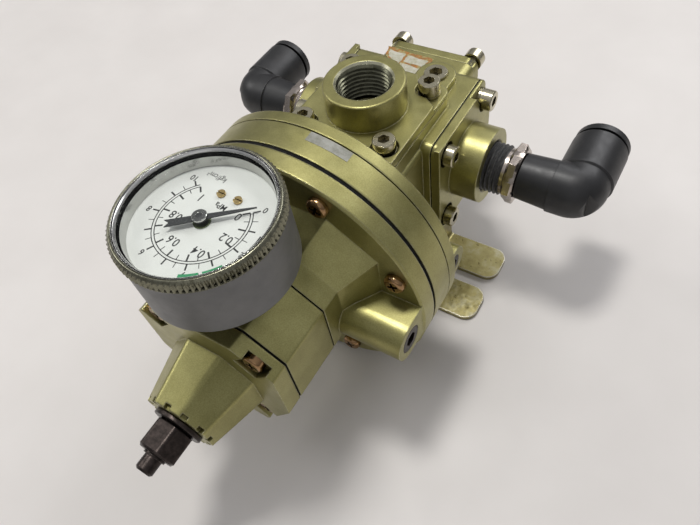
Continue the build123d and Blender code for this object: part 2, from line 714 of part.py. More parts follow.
with BuildPart() as bonnet:
    with BuildSketch(across(BONNET_REAR_Y)):
        Polygon(*section_points(), align=None)
    extrude(amount=BONNET_REAR_Y - BONNET_FLANGE_Y)
    fillet(bonnet.edges().filter_by(Axis.Y), 1.2)
    with BuildSketch(across(BONNET_FLANGE_Y + 1)):
        RegularPolygon(BONNET_BASE_AF / 2, 8, major_radius=False, rotation=22.5)
    with BuildSketch(across(NOSE_Y)):
        RegularPolygon(NOSE_AF / 2, 8, major_radius=False, rotation=22.5)
    loft()
    fillet(bonnet.edges().filter_by(
        lambda edge: edge.center().Y < BONNET_FLANGE_Y - 5 and edge.length > 15
    ), 2.5)
    # pockets round the screw heads, open towards the chamfers
    with BuildSketch(across(BONNET_HEAD_Y)):
        for screw_x, screw_z in BONNET_SCREWS:
            with Locations((1.05 * screw_x, 1.05 * screw_z)):
                Rectangle(12, 9, rotation=degrees(atan2(screw_z, screw_x)))
    extrude(amount=BONNET_HEAD_Y - BONNET_FLANGE_Y, mode=Mode.SUBTRACT)
    with BuildSketch(across(BONNET_REAR_Y)):
        with Locations(*BONNET_SCREWS):
            Circle(BONNET_SCREW_R + 0.3)
    extrude(amount=5, mode=Mode.SUBTRACT)
    with BuildSketch(across(BONNET_REAR_Y)):
        Circle(SPRING_BORE_R)
    extrude(amount=BONNET_REAR_Y - SPRING_BORE_Y, mode=Mode.SUBTRACT)
    with BuildSketch(across(SPRING_BORE_Y + 1)):
        Circle(ADJUST_HOLE_R)
    extrude(amount=10, mode=Mode.SUBTRACT)
    # small notches round the nose rim
    with BuildSketch(across(NOSE_Y + 1.5)):
        with PolarLocations(NOSE_AF / 2, 12):
            Rectangle(3.4, 2.4)
    extrude(amount=1.5, mode=Mode.SUBTRACT)
save(bonnet, "bonnet")

with BuildPart() as bonnet_screws:
    with BuildSketch(across(-70)):
        with Locations(*BONNET_SCREWS):
            Circle(BONNET_SCREW_R)
    extrude(amount=-70 - BONNET_HEAD_Y)
    with BuildSketch(across(BONNET_HEAD_Y)):
        with Locations(*BONNET_SCREWS):
            Circle(BONNET_HEAD_R)
    extrude(amount=2.7)
    fillet(bonnet_screws.edges().filter_by(GeomType.CIRCLE).group_by(Axis.Y)[0], 1.3)
    with BuildSketch(across(BONNET_HEAD_Y - 2.7)):
        with Locations(*BONNET_SCREWS):
            Rectangle(4.2, 1.0)
            Rectangle(1.0, 4.2)
    extrude(amount=-1.7, mode=Mode.SUBTRACT)
save(bonnet_screws, "bonnet_screws")

with BuildPart() as spring_seat:
    with BuildSketch(across(-116.3)):
        Circle(10.2)
    extrude(amount=2)
    with BuildSketch(across(-114.8)):
        Circle(6.4)
    extrude(amount=1.5)
save(spring_seat, "spring_seat")

save(coil_spring(BONNET_REAR_Y - 15.2, BONNET_REAR_Y - 1.9, 8.5, 1.15, 3.5), "regulating_spring")

with BuildPart() as adjusting_screw:
    with BuildSketch(across(ADJUST_SEAT_Y)):
        Circle(ADJUST_R)
    extrude(amount=ADJUST_SEAT_Y - NUT_FRONT_Y + 0.8)
    with BuildSketch(across(NUT_FRONT_Y - 0.8)):
        Circle(DOG_R)
    extrude(amount=NUT_FRONT_Y - 0.8 - ADJUST_TIP_Y)
    chamfer(adjusting_screw.edges().filter_by(GeomType.CIRCLE).sort_by(Axis.Y)[0], 0.7)
    with BuildSketch(across(ADJUST_TIP_Y)):
        RegularPolygon(HEX_KEY_AF / 2, 6, major_radius=False)
    extrude(amount=-3.5, mode=Mode.SUBTRACT)
save(adjusting_screw, "adjusting_screw")

with BuildPart() as lock_washer:
    with BuildSketch(across(NOSE_Y - 0.3)):
        Circle(LOCK_WASHER_R)
        Circle(ADJUST_HOLE_R + 0.1, mode=Mode.SUBTRACT)
    extrude(amount=1.5)
    chamfer(lock_washer.edges().filter_by(GeomType.CIRCLE).group_by(Axis.Y)[0].sort_by(
        SortBy.RADIUS)[-1], 0.3)
save(lock_washer, "lock_washer")

with BuildPart() as lock_nut:
    with BuildSketch(across(NUT_REAR_Y)):
        RegularPolygon(NUT_AF / 2, 6, major_radius=False)
    extrude(amount=NUT_REAR_Y - NUT_FRONT_Y)
    with BuildSketch(across(NUT_REAR_Y)):
        Circle(NUT_AF / 2 * 1.12)
    extrude(amount=NUT_REAR_Y - NUT_FRONT_Y, mode=Mode.INTERSECT)
    with BuildSketch(across(NUT_REAR_Y)):
        Circle(ADJUST_HOLE_R)
    extrude(amount=NUT_REAR_Y - NUT_FRONT_Y, mode=Mode.SUBTRACT)
save(lock_nut, "lock_nut")

# ---------------------------------------------------------------- pressure gauge
with BuildPart() as gauge_stem:
    with BuildSketch(gauge_level(17.5)):
        Circle(4.8)
    extrude(amount=SECTION_TOP - 17.5)
    with BuildSketch(gauge_level(SECTION_TOP)):
        RegularPolygon(7, 6, major_radius=False)
    extrude(amount=GAUGE_CASE_Z - SECTION_TOP)
    with BuildSketch(gauge_level(GAUGE_CASE_Z)):
        Circle(5)
    extrude(amount=7.8)
    with BuildSketch(gauge_level(42)):
        with Locations((8, 0)):
            Rectangle(16, 5)
    extrude(amount=3.6)
    with BuildSketch(gauge_level(17.5)):
        Circle(1)
    extrude(amount=26, mode=Mode.SUBTRACT)
save(gauge_stem, "gauge_stem")

with BuildPart() as gauge_case:
    with BuildSketch(gauge_level(GAUGE_CASE_Z)):
        Circle(GAUGE_CASE_R)
    extrude(amount=GAUGE_CASE_TOP_Z - GAUGE_CASE_Z)
    fillet(gauge_case.edges().filter_by(GeomType.CIRCLE).sort_by(Axis.Z)[0], 1.5)
    with BuildSketch(gauge_level(GAUGE_CASE_TOP_Z)):
        Circle(GAUGE_CASE_R - GAUGE_WALL)
    extrude(amount=GAUGE_CASE_Z + 1.5 - GAUGE_CASE_TOP_Z, mode=Mode.SUBTRACT)
    with BuildSketch(gauge_level(GAUGE_CASE_Z)):
        Circle(5.05)
    extrude(amount=2, mode=Mode.SUBTRACT)
save(gauge_case, "gauge_case")

with BuildPart() as bourdon_tube:
    with BuildSketch(Plane(origin=(0, GAUGE_Y, AXIS_H), x_dir=(1, 0, 0), z_dir=(0, -1, 0))):
        with Locations((17.6, 44)):
            Ellipse(1.2, 2.6)
    revolve(axis=GAUGE_AXIS, revolution_arc=250)
save(bourdon_tube, "bourdon_tube")

with BuildPart() as gauge_movement:
    for plate_z in (46.0, 52.0):
        with BuildSketch(gauge_level(plate_z)):
            RectangleRounded(20, 13, 2)
            Circle(ARBOR_R + 0.1, mode=Mode.SUBTRACT)
        extrude(amount=1.2)
    with BuildSketch(gauge_level(47.2)):
        with Locations((-8, 0), (8, 0)):
            Circle(1.4)
    extrude(amount=4.8)
    with BuildSketch(gauge_level(53.2)):
        with Locations((-3.1, 5), (3.1, 5)):
            Circle(1.2)
    extrude(amount=DIAL_Z - 0.6 - 53.2)
save(gauge_movement, "gauge_movement")

with BuildPart() as gauge_dial:
    with BuildSketch(gauge_level(DIAL_Z - 0.6)):
        Circle(DIAL_R)
        Circle(ARBOR_R + 0.8, mode=Mode.SUBTRACT)
    extrude(amount=0.6)
save(gauge_dial, "gauge_dial")

with BuildPart() as dial_screws:
    with BuildSketch(gauge_level(DIAL_Z)):
        with Locations((-1.3, 10.6), (4.9, 10.6)):
            Circle(1.35)
    extrude(amount=0.8)
    with BuildSketch(gauge_level(DIAL_Z + 0.8)):
        with Locations((-1.3, 10.6), (4.9, 10.6)):
            Rectangle(2.7, 0.4)
    extrude(amount=-0.4, mode=Mode.SUBTRACT)
save(dial_screws, "dial_screws")

with BuildPart() as gauge_pointer:
    with BuildSketch(gauge_level(48)):
        Circle(ARBOR_R)
    extrude(amount=POINTER_Z - 48)
    with BuildSketch(gauge_level(POINTER_Z).rotated((0, 0, ZERO_ANGLE))):
        Circle(2.1)
        with BuildLine():
            Polyline(
                (-10.4, 1.3), (-9.0, 0), (-10.4, -1.3), (-2, -1.1), (10, -0.55),
                (16.2, -0.15), (16.2, 0.15), (10, 0.55), (-2, 1.1), close=True,
            )
        make_face()
    extrude(amount=0.35)
    with BuildSketch(gauge_level(POINTER_Z)):
        Circle(1.7)
    extrude(amount=1.2)
save(gauge_pointer, "gauge_pointer")


def limit_hand(centre_angle):
    """A thin arc close inside the bezel that marks one end of the working pressure."""
    start = centre_angle - HAND_SPAN / 2
    with BuildPart() as hand:
        with BuildSketch(gauge_level(HAND_Z)):
            with BuildLine():
                CenterArc((0, 0), HAND_OUT_R, start, HAND_SPAN)
                CenterArc((0, 0), HAND_IN_R, start, HAND_SPAN)
                for side in (start, start + HAND_SPAN):
                    ray = (cos(radians(side)), sin(radians(side)))
                    Line(
                        (HAND_IN_R * ray[0], HAND_IN_R * ray[1]),
                        (HAND_OUT_R * ray[0], HAND_OUT_R * ray[1]),
                    )
            make_face()
        extrude(amount=0.5)
    return hand


save(limit_hand(-39.8), "limit_hand_low")
save(limit_hand(-58.2), "limit_hand_high")

with BuildPart() as gauge_bezel:
    with BuildSketch(gauge_level(GAUGE_CASE_TOP_Z - 0.6)):
        Circle(BEZEL_R)
        Circle(GAUGE_CASE_R + 0.05, mode=Mode.SUBTRACT)
    extrude(amount=0.6)
    with BuildSketch(gauge_level(GAUGE_CASE_TOP_Z)):
        Circle(BEZEL_R)
        Circle(23.4, mode=Mode.SUBTRACT)
    extrude(amount=BEZEL_TOP_Z - GAUGE_CASE_TOP_Z)
    chamfer(gauge_bezel.edges().filter_by(GeomType.CIRCLE).group_by(Axis.Z)[-1], 0.9)
    with BuildSketch(gauge_level(GAUGE_CASE_TOP_Z)):
        Circle(23.4)
        Circle(22.4, mode=Mode.SUBTRACT)
    extrude(amount=LENS_Z - GAUGE_CASE_TOP_Z)
save(gauge_bezel, "gauge_bezel")

with BuildPart() as gauge_lens:
    with BuildSketch(gauge_level(LENS_Z)):
        Circle(23.35)
    extrude(amount=1.5)
save(gauge_lens, "gauge_lens")


# ---------------------------------------------------------------- push-in elbow fittings
def nipple(port):
    """Taper-thread nipple with a hexagon and the spigot on which the elbow swivels."""
    out = FITTING_OUT[port]
    with BuildPart() as body:
        with BuildSketch(port_plane(port, NIPPLE_IN_W + out)):
            Circle(NIPPLE_R)
        extrude(amount=THREAD_END_W - NIPPLE_IN_W)
        chamfer(body.edges().filter_by(GeomType.CIRCLE), 0.5)
        with BuildSketch(port_plane(port, THREAD_END_W + out)):
            Circle(NIPPLE_NECK_R)
        extrude(amount=HEX_W - THREAD_END_W)
        with BuildSketch(port_plane(port, HEX_W + out)):
            RegularPolygon(NIPPLE_AF / 2, 6, major_radius=False)
        extrude(amount=HEX_T)
        with BuildSketch(port_plane(port, HEX_W + HEX_T + out)):
            Circle(SPIGOT_R)
        extrude(amount=SPIGOT_END_W - HEX_W - HEX_T)
        with BuildSketch(port_plane(port, NIPPLE_IN_W + out)):
            Circle(4.6)
        extrude(amount=SPIGOT_END_W - NIPPLE_IN_W, mode=Mode.SUBTRACT)
    return body


def elbow_corner_block(corner_x, side):
    """The bend's outer corner: where both tubes cross, rounded off as seen from above."""
    far_x = corner_x + side * ELBOW_BEND_R
    near_y = SIDE_PORT_Y - ELBOW_BEND_R
    with BuildPart() as block:
        with BuildSketch(Plane(
            origin=(corner_x, SIDE_PORT_Y, AXIS_H), x_dir=(0, 1, 0), z_dir=(side, 0, 0)
        )):
            Circle(ELBOW_BEND_R)
        extrude(amount=ELBOW_BEND_R)
        with BuildSketch(Plane(
            origin=(corner_x, SIDE_PORT_Y, AXIS_H), x_dir=(1, 0, 0), z_dir=(0, -1, 0)
        )):
            Circle(ELBOW_BEND_R)
        extrude(amount=ELBOW_BEND_R, both=True, mode=Mode.INTERSECT)
        with BuildSketch(Plane.XY.offset(AXIS_H)):
            with Locations((far_x - side * CORNER_ROUND / 2, near_y + CORNER_ROUND / 2)):
                Rectangle(CORNER_ROUND, CORNER_ROUND)
            with Locations((far_x - side * CORNER_ROUND, near_y + CORNER_ROUND)):
                Circle(CORNER_ROUND, mode=Mode.SUBTRACT)
        extrude(amount=ELBOW_BEND_R, both=True, mode=Mode.SUBTRACT)
    return block.part


def elbow(port):
    """Moulded elbow: a leg that swivels on the nipple and a barrel that takes the tube."""
    out = FITTING_OUT[port]
    side = 1 if port == "supply" else -1
    corner_x = side * (ELBOW_CORNER_W + out)
    leg_start = HEX_W + HEX_T + 0.3
    corner = Plane(
        origin=(corner_x, SIDE_PORT_Y, AXIS_H), x_dir=(-side, 0, 0), z_dir=(0, 1, 0)
    )
    with BuildPart() as body:
        with BuildSketch(corner.offset(BARREL_START_Y - SIDE_PORT_Y)):
            Circle(BARREL_R)
        extrude(amount=BARREL_END_Y - BARREL_START_Y)
        chamfer(body.edges().filter_by(GeomType.CIRCLE), 0.6)
        with BuildSketch(port_plane(port, leg_start + out)):
            Circle(ELBOW_LEG_R)
        extrude(amount=ELBOW_CORNER_W - leg_start)
        with BuildSketch(port_plane(port, 70.3 + out)):
            Circle(ELBOW_BEND_R)
        extrude(amount=ELBOW_CORNER_W - 70.3)
        with BuildSketch(corner):
            Circle(ELBOW_BEND_R)
        extrude(amount=BARREL_START_Y - SIDE_PORT_Y)
        add(elbow_corner_block(corner_x, side))
        # air way: the spigot's socket, the turn, the tube's bore and the collar's counterbore
        with BuildSketch(port_plane(port, leg_start + out)):
            Circle(SPIGOT_R + 0.06)
        extrude(amount=SPIGOT_END_W + 0.4 - leg_start, mode=Mode.SUBTRACT)
        with BuildSketch(port_plane(port, leg_start + out)):
            Circle(4.6)
        extrude(amount=ELBOW_CORNER_W - leg_start, mode=Mode.SUBTRACT)
        with BuildSketch(corner):
            Circle(4.6)
        extrude(amount=BARREL_END_Y - SIDE_PORT_Y, mode=Mode.SUBTRACT)
        with BuildSketch(corner.offset(TUBE_STOP_Y - SIDE_PORT_Y)):
            Circle(TUBE_R)
        extrude(amount=BARREL_END_Y - TUBE_STOP_Y, mode=Mode.SUBTRACT)
        with BuildSketch(corner.offset(SEAL_Y - SIDE_PORT_Y)):
            Circle(8.4)
        extrude(amount=BARREL_END_Y - SEAL_Y, mode=Mode.SUBTRACT)
    return body, corner


for fitting_port in ("supply", "exhaust"):
    elbow_body, elbow_corner = elbow(fitting_port)
    save(nipple(fitting_port), f"{fitting_port}_nipple")
    save(elbow_body, f"{fitting_port}_elbow")
    rim_plane = elbow_corner.offset(BARREL_END_Y + COLLAR_GAP - SIDE_PORT_Y)

    with BuildPart() as release_collar:
        with BuildSketch(rim_plane):
            Circle(BARREL_R - 0.3)
        extrude(amount=COLLAR_RIM)
        chamfer(release_collar.edges().filter_by(GeomType.CIRCLE).sort_by(Axis.Y)[-1], 0.5)
        with BuildSketch(rim_plane):
            Circle(8.3)
        extrude(amount=-9)
        with BuildSketch(rim_plane.offset(COLLAR_RIM)):
            Circle(TUBE_R)
        extrude(amount=-9 - COLLAR_RIM, mode=Mode.SUBTRACT)
    save(release_collar, f"{fitting_port}_release_collar")

    with BuildPart() as tube_seal:
        with BuildSketch(elbow_corner.offset(SEAL_Y - SIDE_PORT_Y)):
            Circle(8.35)
            Circle(TUBE_R, mode=Mode.SUBTRACT)
        extrude(amount=2.6)
    save(tube_seal, f"{fitting_port}_tube_seal")
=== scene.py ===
"""Looks of the air pressure regulator: materials, threads, knurls, dial print, labels, light."""
import json
from math import cos, degrees, pi, radians, sin, tau

import bmesh
import bpy
from mathutils import Matrix, Vector


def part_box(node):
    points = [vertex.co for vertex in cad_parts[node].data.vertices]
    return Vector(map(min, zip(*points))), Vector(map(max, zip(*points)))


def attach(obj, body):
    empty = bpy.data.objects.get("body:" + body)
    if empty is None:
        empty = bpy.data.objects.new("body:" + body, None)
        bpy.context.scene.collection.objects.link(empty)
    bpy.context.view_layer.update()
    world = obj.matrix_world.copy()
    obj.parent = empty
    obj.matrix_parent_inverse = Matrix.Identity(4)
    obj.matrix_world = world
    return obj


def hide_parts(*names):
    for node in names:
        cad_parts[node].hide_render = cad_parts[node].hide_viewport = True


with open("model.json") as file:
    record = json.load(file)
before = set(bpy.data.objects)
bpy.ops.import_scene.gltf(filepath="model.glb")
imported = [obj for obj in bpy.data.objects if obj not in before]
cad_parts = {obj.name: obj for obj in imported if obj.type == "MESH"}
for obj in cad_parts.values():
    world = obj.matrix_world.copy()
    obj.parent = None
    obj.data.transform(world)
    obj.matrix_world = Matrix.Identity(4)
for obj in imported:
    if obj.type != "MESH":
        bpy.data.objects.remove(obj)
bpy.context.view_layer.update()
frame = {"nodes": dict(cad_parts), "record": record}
nodes = frame["nodes"]

MM = 0.001
ROOT = "regulator_body"


def middle(node):
    """Centre of a CAD node's box."""
    low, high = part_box(node)
    return (low + high) / 2


AXIS_Z = middle("spindle").z
PIPE_PITCH = 1.814 * MM      # G 1/2 and R 1/2 threads
THREAD_DEPTH = 1.1 * MM
SHADE_SAMPLES = 6            # of the bevel and corner shading nodes


# ---------------------------------------------------------------- node helpers
class Nodes:
    """Builds one material's node tree; every pattern is in the row frame, sized in millimetres."""

    def __init__(self, name):
        self.material = bpy.data.materials.new(name)
        self.material.use_nodes = True
        self.tree = self.material.node_tree
        self.shader = self.tree.nodes["Principled BSDF"]
        self.place = self.add("ShaderNodeTexCoord").outputs["Object"]

    def add(self, kind, **settings):
        node = self.tree.nodes.new(kind)
        for key, value in settings.items():
            setattr(node, key, value)
        return node

    def link(self, source, target):
        self.tree.links.new(source, target)

    def set(self, **values):
        """Plain values on the shader's own sockets, such as Coat_Weight=0.2."""
        for key, value in values.items():
            self.shader.inputs[key.replace("_", " ")].default_value = value

    def feed(self, source, socket):
        self.link(source, self.shader.inputs[socket])

    def noise(self, size, detail=3.0, roughness=0.55, stretch=None):
        """Cloudy noise whose spots are about `size` mm; stretch scales it along X, Y and Z."""
        texture = self.add("ShaderNodeTexNoise")
        texture.inputs["Scale"].default_value = 1 / (size * MM)
        texture.inputs["Detail"].default_value = detail
        texture.inputs["Roughness"].default_value = roughness
        place = self.place
        if stretch:
            mapping = self.add("ShaderNodeMapping")
            mapping.inputs["Scale"].default_value = stretch
            self.link(place, mapping.inputs["Vector"])
            place = mapping.outputs["Vector"]
        self.link(place, texture.inputs["Vector"])
        return texture.outputs["Fac"]

    def ramp(self, source, *stops):
        """Colour ramp from (position, colour or grey) stops."""
        node = self.add("ShaderNodeValToRGB")
        elements = node.color_ramp.elements
        while len(elements) < len(stops):
            elements.new(0.5)
        for element, (position, colour) in zip(elements, stops):
            element.position = position
            grey = isinstance(colour, (int, float))
            element.color = (colour, colour, colour, 1) if grey else (*colour, 1)
        self.link(source, node.inputs["Fac"])
        return node.outputs["Color"]

    def maths(self, operation, first, second):
        node = self.add("ShaderNodeMath", operation=operation, use_clamp=True)
        for socket, value in zip(node.inputs, (first, second)):
            if isinstance(value, (int, float)):
                socket.default_value = value
            else:
                self.link(value, socket)
        return node.outputs["Value"]

    def mix(self, factor, first, second, blend="MIX"):
        """Mixes two colours; each is a socket or a colour."""
        node = self.add("ShaderNodeMix", data_type="RGBA", blend_type=blend)
        named = {"Factor": factor, "A": first, "B": second}
        for socket in node.inputs:
            if socket.enabled and socket.name in named:
                value = named[socket.name]
                if isinstance(value, (int, float)):
                    socket.default_value = value
                elif isinstance(value, tuple):
                    socket.default_value = (*value, 1)
                else:
                    self.link(value, socket)
        return next(out for out in node.outputs if out.enabled)

    def bumps(self, *layers, rounding=0.0):
        """Bump from (height socket, depth in mm) layers, over corners rounded to a radius in mm."""
        normal = None
        if rounding:
            bevel = self.add("ShaderNodeBevel", samples=SHADE_SAMPLES)
            bevel.inputs["Radius"].default_value = rounding * MM
            normal = bevel.outputs["Normal"]
        for height, depth in layers:
            bump = self.add("ShaderNodeBump")
            bump.inputs["Distance"].default_value = depth * MM
            bump.inputs["Strength"].default_value = 1.0
            self.link(height, bump.inputs["Height"])
            if normal is not None:
                self.link(normal, bump.inputs["Normal"])
            normal = bump.outputs["Normal"]
        self.feed(normal, "Normal")

    def edges(self, radius):
        """1 near sharp edges, 0 elsewhere, for wear; radius in mm."""
        bevel = self.add("ShaderNodeBevel", samples=SHADE_SAMPLES)
        bevel.inputs["Radius"].default_value = radius * MM
        geometry = self.add("ShaderNodeNewGeometry")
        dot = self.add("ShaderNodeVectorMath", operation="DOT_PRODUCT")
        self.link(bevel.outputs["Normal"], dot.inputs[0])
        self.link(geometry.outputs["Normal"], dot.inputs[1])
        return self.ramp(dot.outputs["Value"], (0.80, 1.0), (0.985, 0.0))

    def crevices(self, reach):
        """Ambient occlusion for painted shade: 0 in corners and recesses, 1 in the open; reach in mm.
        """
        occlusion = self.add("ShaderNodeAmbientOcclusion", samples=SHADE_SAMPLES)
        occlusion.inputs["Distance"].default_value = reach * MM
        return occlusion.outputs["AO"]


METAL_GRAIN, METAL_GRAIN_DEPTH, METAL_ROUNDING = 0.6, 0.0015, 0.12       # mm


def metal(name, colour, dark, roughness, spot=3.0, reach=1.2):
    """A bare or plated metal: cloudy tarnish in spots, painted shade within reach of corners; in mm."""
    m = Nodes(name)
    cloud = m.noise(spot, detail=5, roughness=0.65)
    tint = m.ramp(cloud, (0.22, dark), (0.50, colour))
    # painted shade: ambient occlusion darkens the colour in corners and recesses
    painted_shade = m.ramp(m.crevices(reach), (0.20, 0.16), (0.75, 1.0))
    m.feed(m.mix(1.0, tint, painted_shade, "MULTIPLY"), "Base Color")
    m.feed(m.ramp(m.noise(spot / 2, detail=4), (0.3, roughness * 1.2), (0.7, roughness * 0.85)),
           "Roughness")
    m.bumps((m.noise(METAL_GRAIN, detail=2), METAL_GRAIN_DEPTH), rounding=METAL_ROUNDING)
    m.set(Metallic=1.0)
    return m.material


def body_paint():
    """Satin metallic khaki paint on castings: metal grain, soft clouds, worn edges, painted shade in
    corners.
    """
    m = Nodes("khaki_metallic_paint")
    grain = m.noise(0.42, detail=3, roughness=0.7)
    cloud = m.noise(14, detail=4)
    tint = m.ramp(cloud, (0.35, (0.335, 0.312, 0.120)), (0.65, (0.425, 0.398, 0.168)))
    flakes = m.ramp(grain, (0.38, (0.80, 0.80, 0.77)), (0.64, (1.0, 1.0, 1.0)))
    paint = m.mix(1.0, tint, flakes, "MULTIPLY")
    chips = m.ramp(m.noise(1.3, detail=5, roughness=0.7), (0.725, 0.0), (0.745, 1.0))
    paint = m.mix(chips, paint, (0.06, 0.055, 0.03))
    worn = m.maths("MULTIPLY", m.edges(0.55),
                   m.ramp(m.noise(2.6, detail=6, roughness=0.75), (0.38, 0.0), (0.58, 0.85)))
    paint = m.mix(worn, paint, (0.62, 0.60, 0.46))
    # painted shade: ambient occlusion darkens the paint in corners and recesses
    painted_shade = m.ramp(m.crevices(3.5), (0.15, (0.30, 0.28, 0.20)), (0.75, (1.0, 1.0, 1.0)))
    m.feed(m.mix(1.0, paint, painted_shade, "MULTIPLY"), "Base Color")
    m.feed(m.ramp(m.noise(5, detail=5), (0.3, 0.43), (0.7, 0.34)), "Roughness")
    m.bumps((grain, 0.010), (m.noise(2.4, detail=3), 0.014), rounding=0.8)
    m.set(Metallic=0.90, Specular_IOR_Level=0.5, Coat_Weight=0.12, Coat_Roughness=0.25)
    return m.material


def grey_paint():
    """Semi-gloss grey enamel of the gauge case, with dark specks."""
    m = Nodes("grey_case_paint")
    tint = m.ramp(m.noise(9, detail=4), (0.35, (0.150, 0.150, 0.148)), (0.65, (0.185, 0.184, 0.180)))
    specks = m.ramp(m.noise(0.8, detail=4), (0.70, 0.0), (0.73, 0.6))
    tint = m.mix(specks, tint, (0.09, 0.09, 0.085))
    # painted shade: ambient occlusion darkens the enamel in corners and recesses
    painted_shade = m.ramp(m.crevices(3), (0.2, 0.4), (0.8, 1.0))
    m.feed(m.mix(1.0, tint, painted_shade, "MULTIPLY"), "Base Color")
    m.feed(m.ramp(m.noise(3, detail=4), (0.3, 0.50), (0.7, 0.40)), "Roughness")
    m.bumps((m.noise(0.45, detail=2), 0.006), rounding=0.4)
    m.set(Metallic=0.35)
    return m.material


def black_plastic():
    """Moulded glass-filled nylon: nearly black, satin, faint flow marks and rubbed edges."""
    m = Nodes("black_moulded_nylon")
    tint = m.ramp(m.noise(7, detail=5),
                  (0.35, (0.0085, 0.0086, 0.0090)), (0.65, (0.0145, 0.0147, 0.0155)))
    rub = m.maths("MULTIPLY", m.edges(0.4), m.ramp(m.noise(2, detail=5), (0.4, 0.0), (0.65, 0.5)))
    m.feed(m.mix(rub, tint, (0.07, 0.07, 0.072)), "Base Color")
    m.feed(m.ramp(m.noise(3.2, detail=6, roughness=0.7), (0.3, 0.50), (0.7, 0.36)), "Roughness")
    m.bumps((m.noise(0.28, detail=2), 0.003), (m.noise(4, detail=2), 0.02), rounding=0.35)
    m.set(Specular_IOR_Level=0.55)
    return m.material


def rubber():
    """Dull black rubber of seals, gaskets and the diaphragm's edge."""
    m = Nodes("black_rubber_seal")
    m.feed(m.ramp(m.noise(1.5, detail=4), (0.35, (0.004, 0.004, 0.004)), (0.65, (0.012, 0.012, 0.011))),
           "Base Color")
    m.feed(m.ramp(m.noise(0.8), (0.3, 0.85), (0.7, 0.7)), "Roughness")
    m.bumps((m.noise(0.3), 0.01))
    m.set(Specular_IOR_Level=0.15)
    return m.material


def black_oxide():
    """Blackened steel with a brown sheen and steel showing where a spanner has rubbed."""
    m = Nodes("black_oxide_steel")
    tint = m.ramp(m.noise(2.2, detail=6, roughness=0.7),
                  (0.35, (0.022, 0.018, 0.016)), (0.65, (0.060, 0.047, 0.042)))
    rub = m.maths("MULTIPLY", m.edges(0.35), m.ramp(m.noise(1.2, detail=5), (0.42, 0.0), (0.6, 0.7)))
    m.feed(m.mix(rub, tint, (0.20, 0.17, 0.15)), "Base Color")
    m.feed(m.ramp(m.noise(0.9, detail=4), (0.3, 0.42), (0.7, 0.28)), "Roughness")
    m.bumps((m.noise(0.4), 0.003), (m.noise(1.6), 0.010), rounding=0.3)
    m.set(Metallic=0.85)
    return m.material


def bracket_plate():
    """Zinc-plated sheet, passivated yellow: dull clouds, pale scuffs, a painted highlight along every
    edge, painted shade in corners.
    """
    m = Nodes("plated_bracket_sheet")
    cloud = m.noise(6, detail=6, roughness=0.7)
    tint = m.ramp(cloud, (0.32, (0.30, 0.26, 0.11)), (0.50, (0.42, 0.37, 0.17)),
                  (0.68, (0.52, 0.49, 0.32)))
    scuffs = m.ramp(m.noise(1.1, detail=6, roughness=0.8, stretch=(0.35, 1.4, 1)),
                    (0.60, 0.0), (0.70, 0.6))
    tint = m.mix(scuffs, tint, (0.70, 0.68, 0.58))
    # painted highlight: every edge is lightened to near white, as where light catches the sheet's edges
    tint = m.mix(m.edges(0.9), tint, (0.88, 0.87, 0.84))
    # painted shade: ambient occlusion darkens the sheet in corners and recesses
    painted_shade = m.ramp(m.crevices(4), (0.2, 0.35), (0.8, 1.0))
    m.feed(m.mix(1.0, tint, painted_shade, "MULTIPLY"), "Base Color")
    m.feed(m.ramp(m.noise(1.8, detail=5), (0.3, 0.42), (0.7, 0.26)), "Roughness")
    m.bumps((m.noise(0.9, detail=3), 0.006), rounding=0.5)
    m.set(Metallic=0.95)
    return m.material


def sealant_thread():
    """Nipple thread filled with a dark grey sealant that has dried in streaks."""
    m = Nodes("sealant_on_thread")
    tint = m.ramp(m.noise(0.9, detail=6, roughness=0.7, stretch=(2.5, 0.6, 0.6)),
                  (0.34, (0.014, 0.014, 0.015)), (0.55, (0.042, 0.042, 0.042)),
                  (0.72, (0.15, 0.145, 0.135)))
    m.feed(tint, "Base Color")
    m.feed(m.ramp(m.noise(0.6, detail=4), (0.3, 0.62), (0.7, 0.42)), "Roughness")
    m.bumps((m.noise(0.5, detail=4), 0.05))
    m.set(Metallic=0.1)
    return m.material


def dial_white():
    """Satin white enamel of the dial."""
    m = Nodes("white_dial_enamel")
    m.feed(m.ramp(m.noise(6, detail=3), (0.3, (0.80, 0.795, 0.77)), (0.7, (0.84, 0.835, 0.815))),
           "Base Color")
    m.feed(m.ramp(m.noise(2), (0.3, 0.40), (0.7, 0.32)), "Roughness")
    m.bumps((m.noise(0.5), 0.003))
    return m.material


def print_ink(name, colour):
    """Ink or enamel in one colour, a little paler in spots."""
    m = Nodes(name)
    pale = tuple(0.7 * value + 0.05 for value in colour)
    m.feed(m.ramp(m.noise(0.5, detail=3), (0.4, colour), (0.75, pale)), "Base Color")
    m.feed(m.ramp(m.noise(1), (0.3, 0.5), (0.7, 0.4)), "Roughness")
    return m.material


def lens_clear():
    """Clear lens: passes light straight through and mirrors more at a shallow angle."""
    m = Nodes("clear_lens")
    m.tree.nodes.remove(m.shader)
    clear = m.add("ShaderNodeBsdfTransparent")
    clear.inputs["Color"].default_value = (0.965, 0.975, 0.965, 1)
    gloss = m.add("ShaderNodeBsdfGlossy")
    gloss.inputs["Roughness"].default_value = 0.02
    slant = m.add("ShaderNodeLayerWeight")
    slant.inputs["Blend"].default_value = 0.5
    mirror = m.ramp(slant.outputs["Facing"], (0.0, 0.012), (0.5, 0.02), (0.8, 0.14), (1.0, 0.8))
    mixer = m.add("ShaderNodeMixShader")
    m.link(mirror, mixer.inputs["Fac"])
    m.link(clear.outputs["BSDF"], mixer.inputs[1])
    m.link(gloss.outputs["BSDF"], mixer.inputs[2])
    m.link(mixer.outputs["Shader"], m.tree.nodes["Material Output"].inputs["Surface"])
    return m.material


